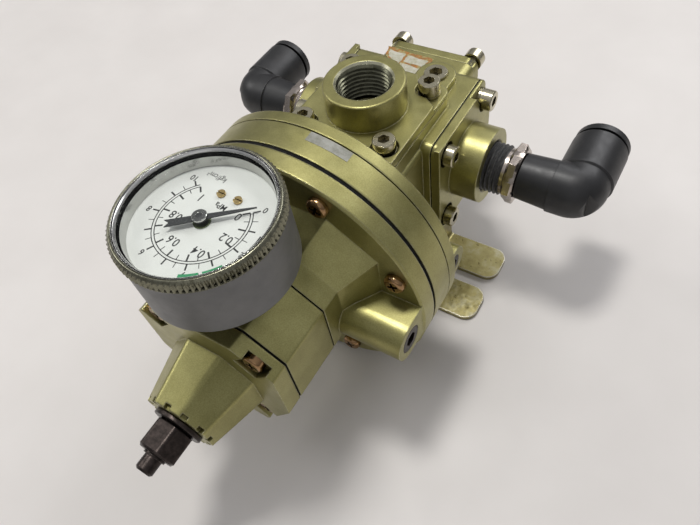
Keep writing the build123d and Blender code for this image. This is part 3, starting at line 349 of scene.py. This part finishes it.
def worn_paper(name, colour, stain, hole):
    """Old printed label: stained, and rubbed through to the paint where noise is over hole."""
    m = Nodes(name)
    tint = m.ramp(m.noise(2.2, detail=6, roughness=0.75), (0.35, stain), (0.6, colour))
    rubbed = m.ramp(m.noise(1.5, detail=6, roughness=0.8), (hole, 0.0), (hole + 0.03, 1.0))
    m.feed(m.mix(rubbed, tint, (0.33, 0.30, 0.12)), "Base Color")
    m.feed(m.ramp(m.noise(1.2), (0.3, 0.6), (0.7, 0.45)), "Roughness")
    m.bumps((m.noise(0.8, detail=4), 0.03))
    return m.material


def silver_foil():
    """Silver sticker gone dull and patchy."""
    m = Nodes("silver_foil_sticker")
    tint = m.ramp(m.noise(5, detail=6, roughness=0.75),
                  (0.35, (0.20, 0.20, 0.165)), (0.62, (0.34, 0.34, 0.31)))
    m.feed(tint, "Base Color")
    m.feed(m.ramp(m.noise(1.5, detail=4), (0.3, 0.5), (0.7, 0.36)), "Roughness")
    m.bumps((m.noise(1.2, detail=4), 0.02))
    m.set(Metallic=0.5)
    return m.material


PAINT = body_paint()
GREY = grey_paint()
PLASTIC = black_plastic()
RUBBER = rubber()
OXIDE = black_oxide()
SHEET = bracket_plate()
SEALANT = sealant_thread()
DIAL = dial_white()
INK = print_ink("black_dial_ink", (0.008, 0.008, 0.009))
POINTER = print_ink("black_pointer_enamel", (0.012, 0.013, 0.016))
GREEN = print_ink("green_hand_enamel", (0.010, 0.30, 0.11))
LENS = lens_clear()
FOIL = silver_foil()
ORANGE = worn_paper("orange_label_border", (0.36, 0.14, 0.02), (0.20, 0.11, 0.03), 0.52)
PAPER = worn_paper("white_label_paper", (0.50, 0.49, 0.41), (0.34, 0.32, 0.22), 0.59)
ZINC = metal("yellow_zinc_screw", (0.54, 0.50, 0.36), (0.34, 0.30, 0.19), 0.24, spot=2.5, reach=2.6)
BRONZE = metal("bronze_plated_screw", (0.36, 0.22, 0.11), (0.16, 0.10, 0.05), 0.20, spot=2.0, reach=2.0)
NICKEL = metal("nickel_plated_brass", (0.50, 0.44, 0.39), (0.34, 0.29, 0.24), 0.22, spot=4.0)
KNURL = metal("tarnished_bezel", (0.23, 0.225, 0.165), (0.07, 0.066, 0.042), 0.27, spot=1.2)
MOUTH = metal("bare_port_mouth", (0.50, 0.49, 0.36), (0.30, 0.29, 0.19), 0.32, spot=2.0)
CHROME = metal("bezel_chrome", (0.50, 0.50, 0.48), (0.36, 0.36, 0.34), 0.18, spot=5.0, reach=0.15)
PORT_METAL = metal("oiled_port_thread", (0.15, 0.15, 0.105), (0.07, 0.07, 0.045), 0.30, spot=1.5)
BRIGHT = metal("bright_turned_steel", (0.68, 0.68, 0.66), (0.46, 0.46, 0.45), 0.20, spot=4.0)
BUSH = metal("tarnished_brass_bush", (0.20, 0.24, 0.12), (0.07, 0.13, 0.06), 0.35)
BRASS = metal("turned_brass", (0.62, 0.45, 0.20), (0.42, 0.29, 0.12), 0.28)
SPRING = metal("oiled_spring_steel", (0.30, 0.30, 0.30), (0.16, 0.15, 0.14), 0.32)

SLOT_MATERIAL = {
    "body_paint": PAINT, "grey_paint": GREY, "nickel_steel": KNURL, "zinc_steel": ZINC,
    "bronze_steel": BRONZE, "black_steel": OXIDE, "spring_steel": SPRING, "stainless": BRIGHT,
    "bracket_plate": SHEET, "nickel_brass": NICKEL, "brass": BRASS, "black_rubber": RUBBER,
    "black_plastic": PLASTIC, "lens_glass": LENS, "dial_white": DIAL, "black_pointer": POINTER,
    "green_hand": GREEN,
}
for entry in frame["record"]["subparts"]:
    node = nodes[entry["node"]]
    node.data.materials.clear()
    node.data.materials.append(SLOT_MATERIAL[entry["material_slot"]])


# ---------------------------------------------------------------- mesh helpers
def piece(name, vertices, faces, material, slot, body=ROOT, smooth_angle=35):
    """A new piece in the row frame, smooth where its faces meet at less than smooth_angle."""
    mesh = bpy.data.meshes.new(name)
    mesh.from_pydata([tuple(v) for v in vertices], [], faces)
    shape = bmesh.new()
    shape.from_mesh(mesh)
    bmesh.ops.remove_doubles(shape, verts=shape.verts, dist=1e-7)
    bmesh.ops.recalc_face_normals(shape, faces=shape.faces)
    shape.to_mesh(mesh)
    shape.free()
    mesh.polygons.foreach_set("use_smooth", [True] * len(mesh.polygons))
    mesh.set_sharp_from_angle(angle=radians(smooth_angle))
    mesh.materials.append(material)
    thing = bpy.data.objects.new(name, mesh)
    bpy.context.scene.collection.objects.link(thing)
    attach(thing, body)
    return thing


def turned(loop, steps, place, radius_at=None):
    """Vertices and faces of a closed (height, radius) loop turned about the local Z axis.

    radius_at(height, radius, angle) may change a radius on its way round, for teeth, threads
    or hexagons. place is the matrix from that local frame to the row frame.
    """
    vertices = []
    for step in range(steps):
        angle = tau * step / steps
        for height, radius in loop:
            r = radius_at(height, radius, angle) if radius_at else radius
            vertices.append(place @ Vector((r * cos(angle), r * sin(angle), height)))
    count = len(loop)
    faces = []
    for step in range(steps):
        here, there = step * count, (step + 1) % steps * count
        for i in range(count):
            j = (i + 1) % count
            faces.append((here + i, here + j, there + j, there + i))
    return vertices, faces


def prism(points, low, high):
    """Vertices and faces of a flat outline, given as (x, y) points, between two heights."""
    count = len(points)
    vertices = [Vector((x, y, low)) for x, y in points] + [Vector((x, y, high)) for x, y in points]
    faces = [tuple(reversed(range(count))), tuple(range(count, 2 * count))]
    faces += [(i, (i + 1) % count, count + (i + 1) % count, count + i) for i in range(count)]
    return vertices, faces


def joined(shapes):
    """One list of vertices and one of faces out of several."""
    vertices, faces = [], []
    for some_vertices, some_faces in shapes:
        start = len(vertices)
        vertices += some_vertices
        faces += [tuple(start + i for i in face) for face in some_faces]
    return vertices, faces


def along_x(side, x, y):
    """Local frame whose Z runs out along +X or -X from x at the main axis's height."""
    out, up = Vector((side, 0, 0)), Vector((0, 0, 1))
    across = up.cross(out)
    turn = Matrix((up, across, out)).transposed().to_4x4()
    return Matrix.Translation((x, y, AXIS_Z)) @ turn


def hexagon(across_flats):
    """radius_at function of a hexagon bar whose corners are cut back to the loop's own radius."""
    def radius_at(height, radius, angle):
        from_flat = (angle + pi / 6) % (pi / 3) - pi / 6
        flat = across_flats / 2 / cos(from_flat)
        return min(radius, flat)
    return radius_at


def threaded(crest, depth, pitch, inside=False):
    """radius_at function of a thread: rows at the crest radius sink into a helical groove."""
    def radius_at(height, radius, angle):
        if abs(radius - crest) > 1e-7:
            return radius
        wave = abs(2 * ((height / pitch - angle / tau) % 1) - 1)
        groove = depth * min(1, max(0, 1.25 * wave - 0.12))
        return radius + groove if inside else radius - groove
    return radius_at


# ---------------------------------------------------------------- outlet port's thread
AROUND = 96                  # steps round a thread, a hexagon or the port's mouth
PORT_WALL = 10.46 * MM
PORT_ROWS = 84
port_low, port_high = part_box("outlet_flange")
thread_bottom, thread_top = port_low.z + 0.1 * MM, port_high.z - 1.6 * MM
crest = PORT_WALL - THREAD_DEPTH
rows = [thread_bottom + (thread_top - thread_bottom) * i / PORT_ROWS for i in range(PORT_ROWS + 1)]
port_loop = [(thread_bottom, PORT_WALL)] + [(z, crest) for z in rows]
port_loop.append((thread_top + 0.9 * MM, PORT_WALL))
port_groove = threaded(crest, THREAD_DEPTH * 0.92, PIPE_PITCH, inside=True)
piece("outlet_thread", *turned(port_loop, AROUND, Matrix.Identity(4), port_groove), PORT_METAL,
      "body_paint", smooth_angle=60)

mouth_low, mouth_high = port_high.z - 0.88 * MM, port_high.z - 0.02 * MM
mouth = [(mouth_low, 10.50 * MM), (mouth_low, 10.44 * MM),
         (mouth_high, 11.30 * MM), (mouth_high, 11.36 * MM)]
piece("port_mouth_chamfer", *turned(mouth, AROUND, Matrix.Identity(4)), MOUTH, "body_paint")

# ---------------------------------------------------------------- nipples of the elbows
SIDES = (("supply", 1), ("exhaust", -1))
NIPPLE_HEX = 22 * MM
NIPPLE_CORNER_R = NIPPLE_HEX / 2 / cos(pi / 6)
NIPPLE_FACE_R = NIPPLE_HEX / 2 * 0.97
THREAD_END, HEX_START, HEX_END = 16.9 * MM, 18.6 * MM, 23.0 * MM
HEX_CHAMFER = 0.8 * MM
CREST_R, NECK_R, SPIGOT_R, BORE_R = 10.38 * MM, 9.55 * MM, 6.78 * MM, 4.6 * MM
SLEEVE_R, CORE_R = 8.7 * MM, 8.65 * MM       # the thread is a sleeve round the nipple's core
NIPPLE_ROWS = 96

for port, side in SIDES:
    low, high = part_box(f"{port}_nipple")
    inner_x, outer_x = (low.x, high.x) if side > 0 else (high.x, low.x)
    place = along_x(side, inner_x, middle(f"{port}_nipple").y)
    spigot_end = abs(outer_x - inner_x)
    rows = [THREAD_END * i / NIPPLE_ROWS for i in range(3, NIPPLE_ROWS - 2)]
    sleeve = [(0.0, 8.8 * MM)] + [(h, CREST_R) for h in rows]
    sleeve += [(THREAD_END, 9.3 * MM), (THREAD_END, SLEEVE_R), (0.0, SLEEVE_R)]
    groove = threaded(CREST_R, THREAD_DEPTH * 0.8, PIPE_PITCH)
    piece(f"{port}_nipple_thread", *turned(sleeve, AROUND, place, groove), SEALANT,
          "nickel_brass", smooth_angle=60)
    bar = [
        (0.2 * MM, BORE_R), (0.2 * MM, CORE_R), (THREAD_END - 0.4 * MM, CORE_R),
        (THREAD_END - 0.1 * MM, NECK_R), (HEX_START - 0.5 * MM, NECK_R),
        (HEX_START, NECK_R + 0.4 * MM), (HEX_START, NIPPLE_FACE_R),
        (HEX_START + HEX_CHAMFER, NIPPLE_CORNER_R), (HEX_END - HEX_CHAMFER, NIPPLE_CORNER_R),
        (HEX_END, NIPPLE_FACE_R), (HEX_END, SPIGOT_R), (spigot_end, SPIGOT_R), (spigot_end, BORE_R),
    ]
    hexed = piece(f"{port}_nipple_hexagon", *turned(bar, AROUND, place, hexagon(NIPPLE_HEX)), NICKEL,
                  "nickel_brass", smooth_angle=25)
    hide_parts(f"{port}_nipple")

# ---------------------------------------------------------------- elbow shells
BEND_R = 3.4 * MM            # centreline radius of the bend
BEND_REACH = 15 * MM         # how far from the bend's centre the corner is rounded
BEND_CUTS = 10
LEG_LENGTH = 9.5 * MM        # from the barrel's axis to where the leg's taper starts
LEG_SKIN_R = 9 * MM          # only what lies outside this radius is tapered
LEG_TAPER = 0.08
TAPER_START = 0.02


def rounded_elbow(port, side):
    """A copy of the CAD elbow's mesh with its outer corner rounded and its leg tapered."""
    node = nodes[f"{port}_elbow"]
    low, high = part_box(node.name)
    barrel_x = middle(f"{port}_release_collar").x
    leg_y = middle(f"{port}_nipple").y
    seam_x = barrel_x - side * LEG_LENGTH
    leg_end = low.x if side > 0 else high.x
    centre = Vector((barrel_x - side * BEND_R, leg_y + BEND_R))
    shape = bmesh.new()
    shape.from_mesh(node.data)
    for cut in range(BEND_CUTS):
        reach = BEND_REACH * cut / BEND_CUTS
        for point, normal in (((centre.x + side * reach, 0, 0), (1, 0, 0)),
                              ((0, centre.y - reach, 0), (0, 1, 0))):
            geometry = shape.verts[:] + shape.edges[:] + shape.faces[:]
            bmesh.ops.bisect_plane(shape, geom=geometry, plane_co=point, plane_no=normal, dist=1e-7)
    for vertex in shape.verts:
        a, b = side * (vertex.co.x - centre.x), centre.y - vertex.co.y
        if a > 0 and b > 0:
            shrink = max(a, b) / (a * a + b * b) ** 0.5
            vertex.co.x = centre.x + side * a * shrink
            vertex.co.y = centre.y - b * shrink
        radial = Vector((vertex.co.y - leg_y, vertex.co.z - AXIS_Z))
        share = (seam_x - vertex.co.x) / (seam_x - leg_end)
        if share > TAPER_START and radial.length > LEG_SKIN_R:
            radial *= 1 - LEG_TAPER * share
            vertex.co.y, vertex.co.z = leg_y + radial.x, AXIS_Z + radial.y
    mesh = bpy.data.meshes.new(f"{port}_elbow_shell")
    shape.to_mesh(mesh)
    shape.free()
    return mesh


for port, side in SIDES:
    mesh = rounded_elbow(port, side)
    mesh.polygons.foreach_set("use_smooth", [True] * len(mesh.polygons))
    mesh.set_sharp_from_angle(angle=radians(30))
    mesh.materials.append(PLASTIC)
    shell = bpy.data.objects.new(f"{port}_elbow_shell", mesh)
    bpy.context.scene.collection.objects.link(shell)
    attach(shell, f"{port}_elbow")
    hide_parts(f"{port}_elbow")

# ---------------------------------------------------------------- lock nut
NUT_BORE = 4.03 * MM
NUT_CHAMFER, BORE_CHAMFER = 0.7 * MM, 0.6 * MM
nut_low, nut_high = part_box("lock_nut")
nut_hex = nut_high.z - nut_low.z
nut_length = nut_high.y - nut_low.y
nut_corner, nut_face, nut_mouth = nut_hex / 2 * 1.12, nut_hex / 2 * 0.93, NUT_BORE + 0.5 * MM
nut_loop = [
    (0, nut_mouth), (0, nut_face), (NUT_CHAMFER, nut_corner),
    (nut_length - NUT_CHAMFER, nut_corner), (nut_length, nut_face),
    (nut_length, nut_mouth), (nut_length - BORE_CHAMFER, NUT_BORE), (BORE_CHAMFER, NUT_BORE),
]
nut_place = Matrix.Translation((0, nut_high.y, AXIS_Z)) @ Matrix.Rotation(pi / 2, 4, "X")
nut_place = nut_place @ Matrix.Rotation(pi / 6, 4, "Z")
nut = piece("lock_nut_hexagon", *turned(nut_loop, AROUND, nut_place, hexagon(nut_hex)), OXIDE,
            "black_steel", body="lock_nut", smooth_angle=25)
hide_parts("lock_nut")

# ---------------------------------------------------------------- gauge bezel
gauge = middle("gauge_case")
gauge_axis = Matrix.Translation((gauge.x, gauge.y, 0))
bezel_low, bezel_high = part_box("gauge_bezel")
lens_low, lens_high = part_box("gauge_lens")
dial_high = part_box("gauge_dial")[1]
BEZEL_R = (bezel_high.x - bezel_low.x) / 2
TEETH = 94
STEPS_PER_TOOTH = 8
TOOTH = 0.85 * MM
FLANGE_H = 0.6               # mm from the bezel's lower edge to its inner step
GAUGE_STEPS = 128


def knurled(height, radius, angle):
    """radius_at function of the teeth: only rows at the rim's full radius carry them."""
    if radius < BEZEL_R - 0.05 * MM:
        return radius
    return radius - TOOTH * abs(sin(TEETH * angle / 2)) ** 1.5


def ring_loop(*points):
    """A (height, radius) loop from heights and insets from the bezel's radius, in mm."""
    return [(height * MM, BEZEL_R - inset * MM) for height, inset in points]


bezel_place = Matrix.Translation((gauge.x, gauge.y, bezel_low.z))
lens_h = (lens_low.z - bezel_low.z) / MM
outer_loop = ring_loop(
    (0, 0.53), (0, 0.35), (0.25, 0.30), (0.45, 0), (1.6, 0), (2.7, 0), (3.45, 0), (3.75, 0.45),
    (4.2, 0.80), (4.45, 1.00), (4.57, 1.25), (4.50, 1.55), (4.32, 1.72), (FLANGE_H, 1.72),
    (FLANGE_H, 0.53))
inner_loop = ring_loop(
    (FLANGE_H, 1.72), (4.20, 1.72), (4.42, 1.78), (4.52, 1.86), (4.46, 1.94), (4.20, 2.0),
    (3.95, 2.1), (3.7, 2.2), (lens_h, 2.2), (lens_h, 3.2), (FLANGE_H, 3.2))
ring = piece("bezel_knurled_ring", *turned(outer_loop, TEETH * STEPS_PER_TOOTH, bezel_place, knurled),
             KNURL, "nickel_steel", smooth_angle=40)
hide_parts("gauge_bezel")
piece("bezel_inner_ring", *turned(inner_loop, GAUGE_STEPS, bezel_place), CHROME, "nickel_steel",
      smooth_angle=40)

# bright inner wall between dial and lens, and the ring that holds the lens
wall_bottom, wall_top = dial_high.z + 0.05 * MM, lens_low.z - 0.05 * MM
wall_loop = [(wall_bottom, 22.35 * MM), (wall_bottom, 21.9 * MM), (dial_high.z + 0.5 * MM, 22.0 * MM),
             (wall_top, 22.3 * MM), (wall_top, 22.38 * MM)]
piece("dial_surround", *turned(wall_loop, GAUGE_STEPS, gauge_axis), CHROME, "nickel_steel")
retainer_bottom = lens_high.z + 0.02 * MM
retainer = [(retainer_bottom, 23.3 * MM), (retainer_bottom, 22.7 * MM),
            (lens_high.z + 0.35 * MM, 22.85 * MM), (lens_high.z + 0.8 * MM, 23.36 * MM)]
piece("lens_retaining_ring", *turned(retainer, GAUGE_STEPS, gauge_axis), BRIGHT, "nickel_steel")

# ---------------------------------------------------------------- dial print, in mm and degrees
ZERO_ANGLE, SWEEP = 38.0, 266.0
TEXT_TURN = radians(175)     # the top of the letters points to the front
PRINT_LOW, PRINT_HIGH = dial_high.z, dial_high.z + 0.03 * MM
MPA_ARC_R, KGF_ARC_R, ARC_W = 13.9, 14.75, 0.28
ARC_PARTS = 90
DIVISIONS = 20
KGF_NUMBER_R = 18.3
KGF_SHARE = 0.0980665        # one kgf/cm2 as a share of 1 MPa
MPA_NUMBERS = {"0": (8.6, 6.0), "0.2": (10.3, -1.8), "0.4": (6.1, -8.9), "0.6": (-3.1, -9.0),
               "0.8": (-8.6, -1.6), "1": (-6.3, 7.1)}
CAP_SHARE = 1.38             # font size over the height of a capital
NARROW = 0.9


def on_dial(radius, angle):
    """(x, y) of a dial point; radius in mm, angle in degrees from +X."""
    return (gauge.x + radius * MM * cos(radians(angle)), gauge.y + radius * MM * sin(radians(angle)))


def scale_angle(share):
    """Direction of a reading, as a share of full scale."""
    return ZERO_ANGLE - SWEEP * share


def tick(share, inner, outer, width):
    """A radial line across the dial; sizes in mm."""
    angle = scale_angle(share)
    half = [degrees(width / 2 / radius) for radius in (inner, outer)]
    corners = [on_dial(inner, angle - half[0]), on_dial(outer, angle - half[1]),
               on_dial(outer, angle + half[1]), on_dial(inner, angle + half[0])]
    return prism(corners, PRINT_LOW, PRINT_HIGH)


def band(inner, outer, angles, low, high):
    """Blocks that follow the dial round between two radii in mm, from each angle to the next."""
    blocks = []
    for one, two in zip(angles, angles[1:]):
        corners = [on_dial(inner, one), on_dial(outer, one), on_dial(outer, two), on_dial(inner, two)]
        blocks.append(prism(corners, low, high))
    return blocks


def scale_arc(radius):
    """The line that a scale's ticks stand on."""
    angles = [scale_angle(i / ARC_PARTS) for i in range(ARC_PARTS + 1)]
    return band(radius - ARC_W / 2, radius + ARC_W / 2, angles, PRINT_LOW, PRINT_HIGH)


def words(text, x, y, height, swell=0.035):
    """A printed text centred at (x, y) mm from the gauge's axis; swell thickens its strokes."""
    curve = bpy.data.curves.new("dial_text", "FONT")
    curve.body = text
    curve.size = height * CAP_SHARE * MM
    curve.align_x, curve.align_y = "CENTER", "CENTER"
    curve.extrude = (PRINT_HIGH - PRINT_LOW) / 2
    curve.resolution_u = 3
    curve.offset = swell * MM
    holder = bpy.data.objects.new("dial_text", curve)
    bpy.context.scene.collection.objects.link(holder)
    mesh = bpy.data.meshes.new_from_object(holder)
    place = Matrix.Translation((gauge.x + x * MM, gauge.y + y * MM, (PRINT_LOW + PRINT_HIGH) / 2))
    place = place @ Matrix.Rotation(TEXT_TURN, 4, "Z") @ Matrix.Diagonal((NARROW, 1, 1, 1))
    vertices = [place @ v.co for v in mesh.vertices]
    faces = [tuple(f.vertices) for f in mesh.polygons]
    bpy.data.objects.remove(holder)
    bpy.data.curves.remove(curve)
    bpy.data.meshes.remove(mesh)
    return vertices, faces


marks = scale_arc(MPA_ARC_R) + scale_arc(KGF_ARC_R)
for step in range(DIVISIONS + 1):
    heavy = step % 2 == 0
    marks.append(tick(step / DIVISIONS, 11.6 if heavy else 12.3, MPA_ARC_R, 0.55 if heavy else 0.25))
for step in range(DIVISIONS + 1):
    heavy = step % 2 == 0
    marks.append(tick(step / 2 * KGF_SHARE, 14.8, 16.9 if heavy else 16.5, 0.5 if heavy else 0.22))
for text, (x, y) in MPA_NUMBERS.items():
    marks.append(words(text, x, y, 2.8))
for number in range(0, 11, 2):
    x, y = on_dial(KGF_NUMBER_R, scale_angle(number * KGF_SHARE))
    marks.append(words(str(number), (x - gauge.x) / MM, (y - gauge.y) / MM, 2.1))
marks.append(words("MPa", 1.4, 6.9, 2.0))
marks.append(words("kgf/cm²", -7.2, 15.7, 2.0, swell=0.0))
piece("dial_print", *joined(marks), INK, "black_pointer", smooth_angle=10)

# hub: a brass bush on the dial and a turned cap on the pointer
HUB_STEPS = 48
pointer_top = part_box("gauge_pointer")[1].z
bush = [(dial_high.z, 1.0 * MM), (dial_high.z, 2.7 * MM), (dial_high.z + 0.35 * MM, 2.6 * MM),
        (dial_high.z + 0.45 * MM, 1.0 * MM)]
piece("dial_bush", *turned(bush, HUB_STEPS, gauge_axis), BUSH, "brass")
cap = [(pointer_top - 0.5 * MM, 0.9 * MM), (pointer_top - 0.5 * MM, 2.3 * MM),
       (pointer_top - 0.05 * MM, 2.3 * MM), (pointer_top + 0.10 * MM, 2.1 * MM),
       (pointer_top + 0.10 * MM, 1.0 * MM), (pointer_top + 0.02 * MM, 0.9 * MM)]
piece("pointer_cap", *turned(cap, HUB_STEPS, gauge_axis), BRIGHT, "stainless", body="gauge_pointer")

# painted dark reflection: a black arc on the dial under the low hand and showing past it, standing in
# for the dark band seen there
REFLECTION_START, REFLECTION_SPAN, REFLECTION_PARTS = -31.0, 36.0, 24
REFLECTION_IN_R, REFLECTION_OUT_R = 20.2, 21.6
under_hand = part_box("limit_hand_low")[0].z
reflection_angles = [REFLECTION_START + REFLECTION_SPAN * k / REFLECTION_PARTS for k in range(REFLECTION_PARTS + 1)]
reflection_arc = band(REFLECTION_IN_R, REFLECTION_OUT_R, reflection_angles,
               under_hand - 0.35 * MM, under_hand - 0.05 * MM)
piece("painted_reflection_arc", *joined(reflection_arc), POINTER, "black_pointer", smooth_angle=30)

# ---------------------------------------------------------------- split spring washers
SCREW_PITCH = 35.0 * MM      # between the screws of a flange
WASHER_T = 1.3 * MM
WASHER_OUT, WASHER_IN = 4.4 * MM, 2.65 * MM
WASHER_STEPS = 40
GAP_ANGLE, GAP_SLANT = 14.0, 8.0
GAP_RISE = 0.25 * MM
WASHER_MARGIN = 0.01 * MM    # how far a washer keeps from the faces it lies between
FIRST_OPENING, OPENING_TURN = 20, 77


def split_washer(place, opening):
    """A square-section ring with a slanted gap, one end lifted a little."""
    section = [(WASHER_IN, 0.0), (WASHER_OUT, 0.0), (WASHER_OUT, 1.0), (WASHER_IN, 1.0)]
    vertices, faces = [], []
    for step in range(WASHER_STEPS + 1):
        share = step / WASHER_STEPS
        lift = GAP_RISE * (share - 0.5)
        for radius, level in section:
            slant = GAP_SLANT * (level - 0.5)
            angle = radians(opening + GAP_ANGLE / 2 + slant + share * (360 - GAP_ANGLE))
            height = min(max(level * WASHER_T + lift, WASHER_MARGIN), WASHER_T - WASHER_MARGIN)
            vertices.append(place @ Vector((radius * cos(angle), radius * sin(angle), height)))
    for step in range(WASHER_STEPS):
        here, there = 4 * step, 4 * (step + 1)
        faces += [(here + i, here + (i + 1) % 4, there + (i + 1) % 4, there + i) for i in range(4)]
    faces += [(0, 1, 2, 3), tuple(4 * WASHER_STEPS + i for i in (3, 2, 1, 0))]
    return vertices, faces


side_y = middle("supply_flange").y
seat_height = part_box("spring_washers")[1].z - WASHER_T
seat_offset = seat_height - AXIS_Z
flange_places = (
    Matrix.Translation((0, 0, seat_height)),
    along_x(1, seat_offset, side_y),
    along_x(-1, -seat_offset, side_y),
)
washer_shapes = []
opening = FIRST_OPENING
for place in flange_places:
    for u in (-1, 1):
        for v in (-1, 1):
            spot = place @ Matrix.Translation((u * SCREW_PITCH / 2, v * SCREW_PITCH / 2, 0))
            washer_shapes.append(split_washer(spot, opening))
            opening += OPENING_TURN
washers = piece("split_spring_washers", *joined(washer_shapes), ZINC, "zinc_steel", smooth_angle=30)
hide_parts("spring_washers")

# ---------------------------------------------------------------- labels, outlines in mm
REAR_TOP = AXIS_Z + 20.5 * MM
LABEL_T = 0.12 * MM
NICK = 0.25
EDGE_PARTS = 7
LABEL_BORDER = [(-20.0, 50.8), (-17.2, 43.0), (-10.0, 39.6), (-7.5, 36.4), (1.8, 35.3), (3.4, 49.2)]
LABEL_PANELS = [
    [(-18.2, 48.7), (-16.2, 44.2), (-9.9, 41.4), (-9.4, 47.9)],
    [(-8.2, 47.8), (-8.6, 43.3), (1.2, 42.5), (1.8, 47.1)],
    [(-8.7, 41.9), (-9.0, 38.6), (-6.8, 37.4), (0.6, 36.5), (1.1, 41.1)],
]


def torn(points, seed):
    """An outline given in mm in the row frame, with small uneven nicks between its corners."""
    outline = []
    for i, (start, end) in enumerate(zip(points, points[1:] + points[:1])):
        along = Vector(end) - Vector(start)
        across = Vector((-along.y, along.x)).normalized()
        for part in range(EDGE_PARTS):
            nick = NICK * sin(7.3 * (i * EDGE_PARTS + part) + seed) if part else 0.0
            point = Vector(start) + along * part / EDGE_PARTS + across * nick
            outline.append(tuple(point * MM))
    return outline


piece("label_border", *prism(torn(LABEL_BORDER, 0.0), REAR_TOP - 0.02 * MM, REAR_TOP + LABEL_T),
      ORANGE, "body_paint", smooth_angle=10)
panel_low, panel_high = REAR_TOP + LABEL_T * 0.5, REAR_TOP + LABEL_T * 1.4
panels = [prism(torn(panel, i + 1.0), panel_low, panel_high) for i, panel in enumerate(LABEL_PANELS)]
piece("label_panels", *joined(panels), PAPER, "dial_white", smooth_angle=10)

# a plain sticker bent round the rim of the rear case
STICKER_T = 0.08 * MM
STICKER_START, STICKER_SPAN, STICKER_PARTS = 85.0, 17.0, 24      # degrees from +X, going down
rim_low, rim_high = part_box("rear_diaphragm_case")
rim_r = (rim_high.x - rim_low.x) / 2
front, back = rim_low.y + 6.4 * MM, rim_high.y - 0.5 * MM
sticker = []
for i in range(STICKER_PARTS):
    one, two = (radians(STICKER_START - STICKER_SPAN * k / STICKER_PARTS) for k in (i, i + 1))
    corners = []
    for radius in (rim_r - 0.05 * MM, rim_r + STICKER_T):
        for angle, y in ((one, front), (two, front), (two, back), (one, back)):
            corners.append(Vector((radius * cos(angle), y, AXIS_Z + radius * sin(angle))))
    faces = [(0, 1, 2, 3), (7, 6, 5, 4), (0, 4, 5, 1), (2, 6, 7, 3)]
    if i == 0:
        faces.append((0, 3, 7, 4))
    if i == STICKER_PARTS - 1:
        faces.append((1, 5, 6, 2))
    sticker.append((corners, faces))
piece("rim_sticker", *joined(sticker), FOIL, "nickel_steel", smooth_angle=30)

# ---------------------------------------------------------------- floor
FLOOR = 3.0                  # half its width, in metres
floor_mesh = bpy.data.meshes.new("floor")
floor_corners = [(-FLOOR, -FLOOR, 0), (FLOOR, -FLOOR, 0), (FLOOR, FLOOR, 0), (-FLOOR, FLOOR, 0)]
floor_mesh.from_pydata(floor_corners, [], [(0, 1, 2, 3)])
floor = bpy.data.objects.new("floor", floor_mesh)
bpy.context.scene.collection.objects.link(floor)
surface = Nodes("pale_floor")
surface.feed(surface.ramp(surface.noise(60, detail=6),
                          (0.3, (0.655, 0.625, 0.595)), (0.7, (0.70, 0.67, 0.64))), "Base Color")
surface.feed(surface.ramp(surface.noise(20), (0.3, 0.55), (0.7, 0.45)), "Roughness")
floor_mesh.materials.append(surface.material)

# ---------------------------------------------------------------- light: a grey sky and four lamps
SKY_STRENGTH = 0.48
SKY_LOW, SKY_HIGH = (0.34, 0.34, 0.345, 1), (0.95, 0.95, 1.0, 1)
TARGET = Vector((0, -0.03, AXIS_Z))

world = bpy.data.worlds.new("studio")
bpy.context.scene.world = world
world.use_nodes = True
sky = world.node_tree
gradient = sky.nodes.new("ShaderNodeValToRGB")
direction = sky.nodes.new("ShaderNodeTexCoord")
split = sky.nodes.new("ShaderNodeSeparateXYZ")
sky.links.new(direction.outputs["Generated"], split.inputs["Vector"])
sky.links.new(split.outputs["Z"], gradient.inputs["Fac"])
horizon, zenith = gradient.color_ramp.elements
horizon.position, horizon.color = 0.0, SKY_LOW
zenith.position, zenith.color = 0.9, SKY_HIGH
sky.links.new(gradient.outputs["Color"], sky.nodes["Background"].inputs["Color"])
sky.nodes["Background"].inputs["Strength"].default_value = SKY_STRENGTH


def lamp(name, direction_to, distance, size, power, colour):
    """A rectangular lamp that shines on the object from a direction; metres and watts."""
    light = bpy.data.lights.new(name, "AREA")
    light.shape = "RECTANGLE"
    light.size, light.size_y = size
    light.energy = power
    light.color = colour
    holder = bpy.data.objects.new(name, light)
    bpy.context.scene.collection.objects.link(holder)
    away = Vector(direction_to).normalized()
    holder.location = TARGET + away * distance
    holder.rotation_euler = away.to_track_quat("Z", "Y").to_euler()


lamp("key", (-0.16, 0.13, 0.97), 1.3, (0.28, 0.23), 8.4, (1.0, 0.985, 0.96))
lamp("left_panel", (-0.95, -0.15, 0.75), 1.4, (0.5, 0.4), 3.2, (1.0, 0.99, 0.97))
lamp("back_panel", (0.25, 0.95, 0.80), 1.4, (0.9, 0.3), 5.6, (0.98, 0.98, 1.0))
lamp("front_fill", (0.5, -1.0, 0.6), 1.8, (1.2, 0.8), 0.8, (1.0, 0.99, 0.97))

# ---------------------------------------------------------------- camera
CAMERA_AT = (0.10562, -0.14923, 0.23755)
FORWARD = Vector((-0.3944554, 0.44879777, -0.80186376))
RIGHT = Vector((0.84676528, 0.51646605, -0.12748091))
camera_data = bpy.data.cameras.new("camera")
camera_data.lens = 30.63
camera_data.sensor_width = 36
camera_data.clip_start = 0.01
camera = bpy.data.objects.new("camera", camera_data)
bpy.context.scene.collection.objects.link(camera)
turn = Matrix((RIGHT, RIGHT.cross(FORWARD), -FORWARD)).transposed().to_4x4()
camera.matrix_world = Matrix.Translation(CAMERA_AT) @ turn
bpy.context.scene.camera = camera
bpy.context.scene.view_settings.view_transform = "Standard"
